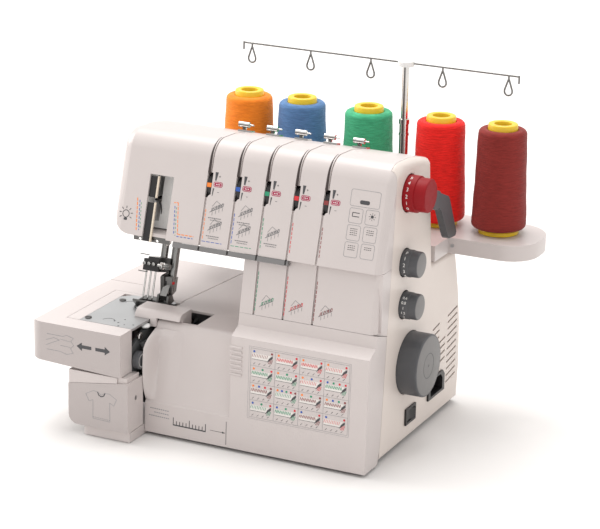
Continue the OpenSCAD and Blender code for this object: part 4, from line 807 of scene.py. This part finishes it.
def dial_numbers(name, place, r, out, body, marks, size, first, step):
    points, faces = [], []
    for k, text in enumerate(marks.split()):
        flat, flat_faces = number_mesh(text, size)
        start = len(points)
        for x, y, z in flat:
            a = radians(first + step * k) - y / r
            rr = r + 0.03 + z
            points.append((right_x + out + x, place[0] + rr * cos(a), place[1] + rr * sin(a)))
        faces += [tuple(start + v for v in f) for f in flat_faces]
    return piece(name, points, faces, inks["white"], body, smooth=False)


red_place, stitch_place = (front_y + 73, body_h - 27.4), (front_y + 69, body_h - 84.4)
feed_place = (front_y + 70, body_h - 120.4)
dial_numbers("red_dial_numbers", red_place, 15.0, 3.7, "red_dial", "5 4 3 2 1 0", 4.4, 110, 22)
dial_numbers("stitch_length_numbers", stitch_place, 11.2, 3.6, "stitch_length_dial", "F 1 2 3 4", 4.2, 118, 28)
dial_numbers("differential_numbers", feed_place, 11.2, 3.7, "differential_dial", "0.6 0.8 1 1.5 2", 3.3,
             132, 22)
print("dials with numbers:", 3)

# %% [markdown]
# ## Dials and handwheel
# The dials and the handwheel are turned afresh: a skirt for the numbers, a grip that is hardly smaller, a
# soft edge and a flat end. The end's disc is a shade lighter. They stand in for the CAD nodes, which are a
# little larger, and turn on the same bodies. A seat ring fills the pressure dial's wider hole.

# %% Dials
def dial_rings(skirt, grip, out):
    return [(0.01, -6), (3, -6), (3, -1.5), (skirt - 0.6, -1.5), (skirt, -0.8), (skirt, out * 0.46),
            (skirt - 0.15, out * 0.48), (grip, out * 0.50), (grip - 0.15, out - 1.2), (grip - 0.5, out - 0.4),
            (grip - 1.2, out - 0.12), (0.01, out - 0.12)]


dials = (("red_dial", red_place, 15.0, 13.9, 18.5, burgundy, burgundy, "red_plastic"),
         ("stitch_length_dial", stitch_place, 11.2, 10.8, 14.4, dial_grey, face_grey, "dark_grey_plastic"),
         ("differential_dial", feed_place, 11.2, 10.8, 14.0, dial_grey, face_grey, "dark_grey_plastic"))
for body, at, skirt, grip, out, grip_finish, end_finish, slot in dials:
    knob = turned(body + "_turned", at, dial_rings(skirt, grip, out), 96, grip_finish, body, slot, right_x)
    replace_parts(knob, body)
    r = grip - 1.0
    disc = [(0.01, out - 0.3), (r, out - 0.3), (r, out - 0.06), (r - 0.25, out), (0.01, out)]
    turned(body + "_end", at, disc, 96, end_finish, body, slot, right_x)
seat = [(15.7, -2.0), (18.4, -2.0), (18.4, 0.0), (18.2, 0.06), (16.0, 0.06), (15.7, -0.3), (15.7, -2.0)]
turned("red_dial_seat", red_place, seat, 96, side_shell, x=right_x)
print("dials turned:", len(dials))

# %% [markdown]
# The handwheel is a plain drum with a rounded edge. Its end disc has a shallow ring and a centre mark.

# %% Handwheel
hand_at, hand_r, hand_out = (front_y + 84, 72.0), 26.3, 17.6
rim = [around(hand_r - 1.4, hand_out - 1.4, 1.4, radians(a)) for a in range(0, 90, 15)]
drum = ([(0.01, -7), (22, -7), (25.3, -6), (hand_r, -5)] + rim
        + [(hand_r - 1.5, hand_out - 0.12), (0.01, hand_out - 0.12)])
grey_slot = "dark_grey_plastic"
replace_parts(turned("handwheel_turned", hand_at, drum, 96, dial_grey, "drive_shaft", grey_slot, right_x),
            "handwheel")
low, end_r = hand_out - 0.5, hand_r - 1.6
disc = [(0.01, hand_out - 0.8), (end_r, hand_out - 0.8), (end_r, hand_out - 0.06), (end_r - 0.2, hand_out),
        (10.8, hand_out), (10.7, low), (10.1, low), (10.0, hand_out), (1.2, hand_out), (1.0, low), (0.01, low)]
turned("handwheel_end", hand_at, disc, 96, face_grey, "drive_shaft", grey_slot, right_x)
print("handwheel turned")

# %% [markdown]
# ## The take-up slot
# Behind the slot in the head stands a bright plate. Two black strips with a pale edge run down its left
# side, and the take-up lever's hook reaches out between them. A plate set further back closes a gap in the
# liner's wall, so that no light shows through the head.

# %% Take-up slot
def plate(name, outline, place, low, high, chamfer, material, body="machine"):
    piece(name, *slab(outline, place, low, high, chamfer), material, body, smooth=False)


for name, v0, v1 in (("upper", 33.2, 50.6), ("lower", -3.4, 28.8)):
    plate(f"slot_strip_{name}", rect(-103.3, -97.0, v0, v1), in_head, 3.0, 1.6, 0.2, black)
    plate(f"slot_edge_{name}", rect(-96.95, -95.7, v0 - 0.2, v1 + 0.4), in_head, 3.2, 1.3, 0.15, cream)
plate("slot_guard", rect(-104.9, -103.9, 5, 52), in_head, 42, 17, 0.2, slot_grey)
print("plates in the slot:", 5)

# %% [markdown]
# The take-up lever is a tapering rod along a path: up to the slot, across, and round into a hook. It stands
# in for the CAD lever and swings on the same body.

# %% Take-up lever
def tube(path, radii, sides=10):
    """Points and faces of a rod along a path, with its own radius at each point."""
    path = [Vector(p) for p in path]
    sections, side = [], Vector((0, 0, 1))
    for k, p in enumerate(path):
        along = (path[min(k + 1, len(path) - 1)] - path[max(k - 1, 0)]).normalized()
        side = (side - along * side.dot(along)).normalized()
        other = along.cross(side)
        sections.append([tuple(p + (side * cos(a) + other * sin(a)) * radii[k])
                         for a in (2 * pi * i / sides for i in range(sides))])
    return loft(sections)


pivot_v, pivot_depth = 38, 44
lever_path = [(-100, pivot_v, pivot_depth), (-100, 37, 36), (-100, 35, 26), (-100, 33, 16), (-100, 31.4, 9.5),
              (-98.8, 31.4, 7.2), (-96.6, 31.2, 6.4), (-94.6, 30.0, 6.2), (-93.0, 27.4, 6.0),
              (-92.0, 24.0, 6.0), (-91.8, 20.4, 6.0)]
lever_radii = [2.2, 2.0, 1.7, 1.4, 1.2, 1.05, 0.95, 0.85, 0.75, 0.65, 0.5]
hook = piece("take_up_hook", *tube([in_head(*p) for p in lever_path], lever_radii), black, "take_up")
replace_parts(hook, "take_up_lever")
pivot = in_head(0, pivot_v, pivot_depth)
hub = [(0.01, -101.4), (4.0, -101.4), (4.4, -101.0), (4.4, -99.0), (4.0, -98.6), (0.01, -98.6)]
turned("take_up_hub", (pivot.y, pivot.z), hub, 40, dark_steel, "take_up")
print("take-up lever: points along its path", len(lever_path))

# %% [markdown]
# ## Shadow lines over the arm
# Above each window the channel runs on over the rounded top of the arm. Its shade is painted as a dark strip,
# wide at first, then ever thinner, which follows the arm's outline: up the face, round the top's radius, along
# the top.

# %% Painted channel shadows
top_r, top_steps = 19.0, 12
top_y = face_foot + (body_h - top_r - arm_under) * tan(lean) + top_r / cos(lean)
path = []
for v in (60.4, 64, 68, 71.5):
    p = in_head(0, v, -0.05)
    path.append((p.y, p.z, 2.7 - 0.05 * (v - 60.4)))
start = 180 - degrees(lean)
for k in range(1, top_steps + 1):
    a = radians(start - (start - 90) * k / top_steps)
    path.append((*around(top_y, body_h - top_r, top_r + 0.05, a), 2.1 - 0.15 * k))
for i, x in enumerate(channel_x):
    sections = [[(x - w / 2, y, z), (x + w / 2, y, z), (x + w / 2, y + 0.5, z - 0.5),
                 (x - w / 2, y + 0.5, z - 0.5)] for y, z, w in path]
    piece(f"channel_painted_shadow_{i + 1}", *loft(sections), painted_groove_shadow, smooth=False)
print("channel inlays:", len(channel_x))

# %% [markdown]
# ## The presser foot's holder and the needle clamp's screw
# The foot hangs on a slotted steel plate with a small red release button. The plate and its block stand
# behind the needle clamp, because the clamp comes down past them at every stitch.

# %% Foot holder
def upright(y_place):
    return lambda a, b, h: Vector((a, y_place + h, b))


plate("foot_holder_plate", [(-108.2, 99.5), (-98.6, 101.0), (-97.8, 115.5), (-99.0, 117.6), (-108.2, 116.4)],
      upright(-36), 2.0, 0.0, 0.3, holder_steel, "presser_bar")
plate("foot_holder_block", [(-108.6, 99.6), (-104.9, 99.8), (-104.9, 117.6), (-107.4, 118.2), (-108.6, 116.6)],
      upright(-37.4), 12.0, 0.0, 0.3, dark_steel, "presser_bar")
plate("foot_holder_slot", [(-104.4, 103.6), (-103.2, 103.7), (-103.2, 113.2), (-104.4, 113.1)],
      upright(-36.15), 0.4, 0.0, 0.05, black, "presser_bar")
button = [(0.01, -97.8), (1.3, -97.8), (1.3, -96.9), (0.9, -96.4), (0.01, -96.3)]
turned("foot_release_button", (-35.0, 111.9), button, 24, red_button, "presser_bar")
print("pieces of the foot holder:", 4)

# %% [markdown]
# The clamp's screw has a bright head and a knurled end, and two short wires stand out to the left. They all
# ride with the needles.

# %% Clamp screw and wires
clamp_at = (-40.6, 127.4)
head = [(0.01, -109.2), (1.5, -109.2), (1.5, -106.6), (2.9, -106.4), (3.2, -106.0), (3.2, -104.0),
        (2.9, -103.6), (1.2, -103.4), (1.2, -101.4)]
turned("clamp_screw", clamp_at, head, 32, chrome, "needle_unit")
knob = [(0.01, -101.8), (2.3, -101.8), (2.5, -101.4), (2.5, -97.6), (2.1, -97.2), (0.01, -97.2)]
turned("clamp_screw_knob", clamp_at, knob, 72, wire_steel, "needle_unit",
       radius_at=lambda r, h, a: r + (0.12 * cos(18 * a) if r > 2 else 0))
wire = [(0.01, -127.5), (0.45, -127.3), (0.5, -126), (0.5, -118.8)]
for k, at in enumerate(((-38.0, 134.6), (-41.6, 120.6))):
    turned(f"clamp_wire_{k + 1}", at, wire, 12, wire_steel, "needle_unit")
print("clamp screw and wires made")

# %% [markdown]
# ## The needle plate's marks and the looper opening
# Two arcs with an arrow's head, and a few dots, are printed on the needle plate.

# %% Plate marks
marks = []
for cx, cy, r in ((-129.5, -52.0, 4.6), (-123.4, -99.1, 5.2)):
    arc = [around(cx, cy, r, radians(a)) for a in range(20, 200, 20)]
    marks += line(arc, 0.5) + [moved([(-1.1, 0.3), (0.6, -2.0), (1.3, 0.5)], *arc[0])]
marks += [dot(*d) for d in ((-113.5, -99.8, 0.9), (-112.2, -91.0, 0.8), (-109.4, -107.0, 0.9),
                            (-106.6, -102.1, 0.6), (-99.7, -99.2, 0.8))]
printed("plate_marks", plate_top, marks, "grey")
print("marks on the needle plate:", len(marks))

# %% [markdown]
# In the opening beside the cover the threading knob has a light ring, with a slotted screw above it and two
# below, and a white lever.

# %% Looper opening
def slotted_screw(name, x, at, r, material):
    turned(name, at, [(0.01, -1.5), (r, -1.5), (r, 0.3), (r - 0.4, 0.8), (0.01, 0.85)], 36, material, x=x)
    w = r * 0.8
    plate(name + "_slot", moved([(-w, -0.35), (w, 0.05), (w, 0.35), (-w, -0.05)], *at),
          lambda a, b, h: Vector((h, a, b)), x + 0.5, x + 0.9, 0.03, black)


side_y = front_y - 3
slotted_screw("looper_screw", -95.2, (-95.4, 83.6), 3.4, chrome)
slotted_screw("side_screw_upper", -95.9, (side_y, 48), 2.4, dark_steel)
slotted_screw("side_screw_lower", -95.9, (side_y, 38), 2.4, dark_steel)
ring = [(5.0, -89.25), (5.9, -89.25), (5.9, -89.1), (5.0, -89.1), (5.0, -89.25)]
turned("width_knob_ring", (side_y, 66), ring, 48, ring_grey, "width_knob", smooth=False)
knob = [(0.01, -1.7), (2.7, -1.6), (3.7, -1.0), (4.1, 0.0), (3.7, 1.0), (2.7, 1.6), (0.01, 1.7)]
piece("threading_lever", *lathe(knob, 40, (-96.2, -85.0, 89.8)), nylon)
stem = tube([(-97.5, -85.0, 89.0), (-99.0, -84.0, 86.0), (-100.0, -82.0, 82.0)], [1.2, 1.2, 1.2])
piece("threading_lever_stem", *stem, ground)
print("screws in the looper opening:", 3)

# %% [markdown]
# ## The thumb rest at the cover's left end
# The low part of the front cover swells forward at its left edge, where a thumb slides the cover open. The
# swell is a grid: each row starts on the left edge, as far forward as the edge stands there, and falls back
# in a smooth curve to the cover's own slope.

# %% Thumb rest
def cover_slope(z):
    return front_y + 2.6 + (z - 30.5) * 18.4 / 58.5


def smooth_fall(x, start, end):
    t = min(1, max(0, (x - start) / (end - start)))
    return (1 - t) ** 2 * (1 + 2 * t)


# Each row: height, how far forward the left edge stands, and how thick the low swell beside it is.
rows = [(31.0, -97.8, 0.0), (34, -99.4, 0.1), (38, -101.0, 0.4), (43, -102.4, 0.7), (50, -103.2, 1.3),
        (58, -103.6, 1.9), (66, -103.4, 2.5), (72, -102.8, 3.1), (76.5, -101.6, 3.7), (80, -98.6, 4.2),
        (82.6, -94.6, 4.2), (84.8, -89.6, 3.4), (86.6, -84.6, 1.9), (87.8, -80.6, 0.7)]
columns = [cover_x0 + 0.05 + 28.0 * (k / 26) ** 1.3 for k in range(27)]
sections = []
for z, y_edge, swell in rows:
    base = cover_slope(z) + 0.05
    row = []
    for x in columns:
        from_edge, low_swell = smooth_fall(x, cover_x0, -79.5), smooth_fall(x, -73.5, -61.5)
        row.append((x, base - max((base - y_edge) * from_edge, swell * low_swell), z))
    sections.append(row + [(columns[-1], base + 1.2, z), (columns[0], base + 1.2, z)])
piece("thumb_rest", *loft(sections), shell, "front_cover")
print("thumb rest rows:", len(rows))

# %% [markdown]
# ## Two corners that the solids leave open
# Under the column's right end there is a notch above the cover, and behind the table a gap above the block
# cover. A small loft that follows the cover's sloping top fills the first, and a plate fills the second.

# %% Corner pieces
sections = []
for y, x_edge in ((-81.6, 101.0), (-79.9, 105.4), (-76.6, 108.6), (-72, 110.4), (-66, 111.2), (-61.6, 111.3)):
    low = cover_top + 0.4 - (y + 82.75) * 0.298
    sections.append([(x, y, z) for x, z in rect(88, x_edge, low, cover_top + 4)])
piece("column_corner", *loft(sections), shell)
plate("block_shoulder", rect(-106, -90.6, -125.5, -106), lambda a, b, h: Vector((a, b, h)), 49.0, 56.8,
      0.4, shell)
print("corner pieces:", 2)

# %% [markdown]
# ## Floor and light
# The machine stands on a pale floor, so wide that its edge isn't seen.

# %% Floor
sweep = 6.0
mesh = bpy.data.meshes.new("floor")
mesh.from_pydata([(x, y, 0) for x, y in rect(-sweep, sweep, -sweep, sweep)], [], [(0, 1, 2, 3)])
floor = add("floor", mesh)
floor.data.materials.append(finish("floor_pale", (0.79, 0.775, 0.765), 0.7, 0.006, 60, 0.02))
scene.view_settings.view_transform = "Standard"
print("floor:", 2 * sweep, "m wide")

# %% [markdown]
# The light is what a small studio gives: a wide soft light above, a weaker one from the left, and a bright
# surrounding that fills the shadows.

# %% Lights
warm_white = (1.0, 0.985, 0.97)
world = bpy.data.worlds.new("studio")
scene.world = world
world.use_nodes = True
world.node_tree.nodes["Background"].inputs["Color"].default_value = (*warm_white, 1)
world.node_tree.nodes["Background"].inputs["Strength"].default_value = 1.0


def soft_light(name, place, size, power):
    lamp = bpy.data.lights.new(name, "AREA")
    lamp.shape, lamp.size, lamp.energy, lamp.color = "DISK", size, power, warm_white
    o = add(name, lamp)
    o.location, aim = place, Vector((0, 0, 0.1))
    o.rotation_euler = (aim - Vector(place)).to_track_quat("-Z", "Y").to_euler()


soft_light("overhead", (-0.5, 0.7, 2.9), 2.4, 68)
soft_light("left_window", (-2.6, -0.1, 1.2), 1.7, 34)
print("lights:", 2)
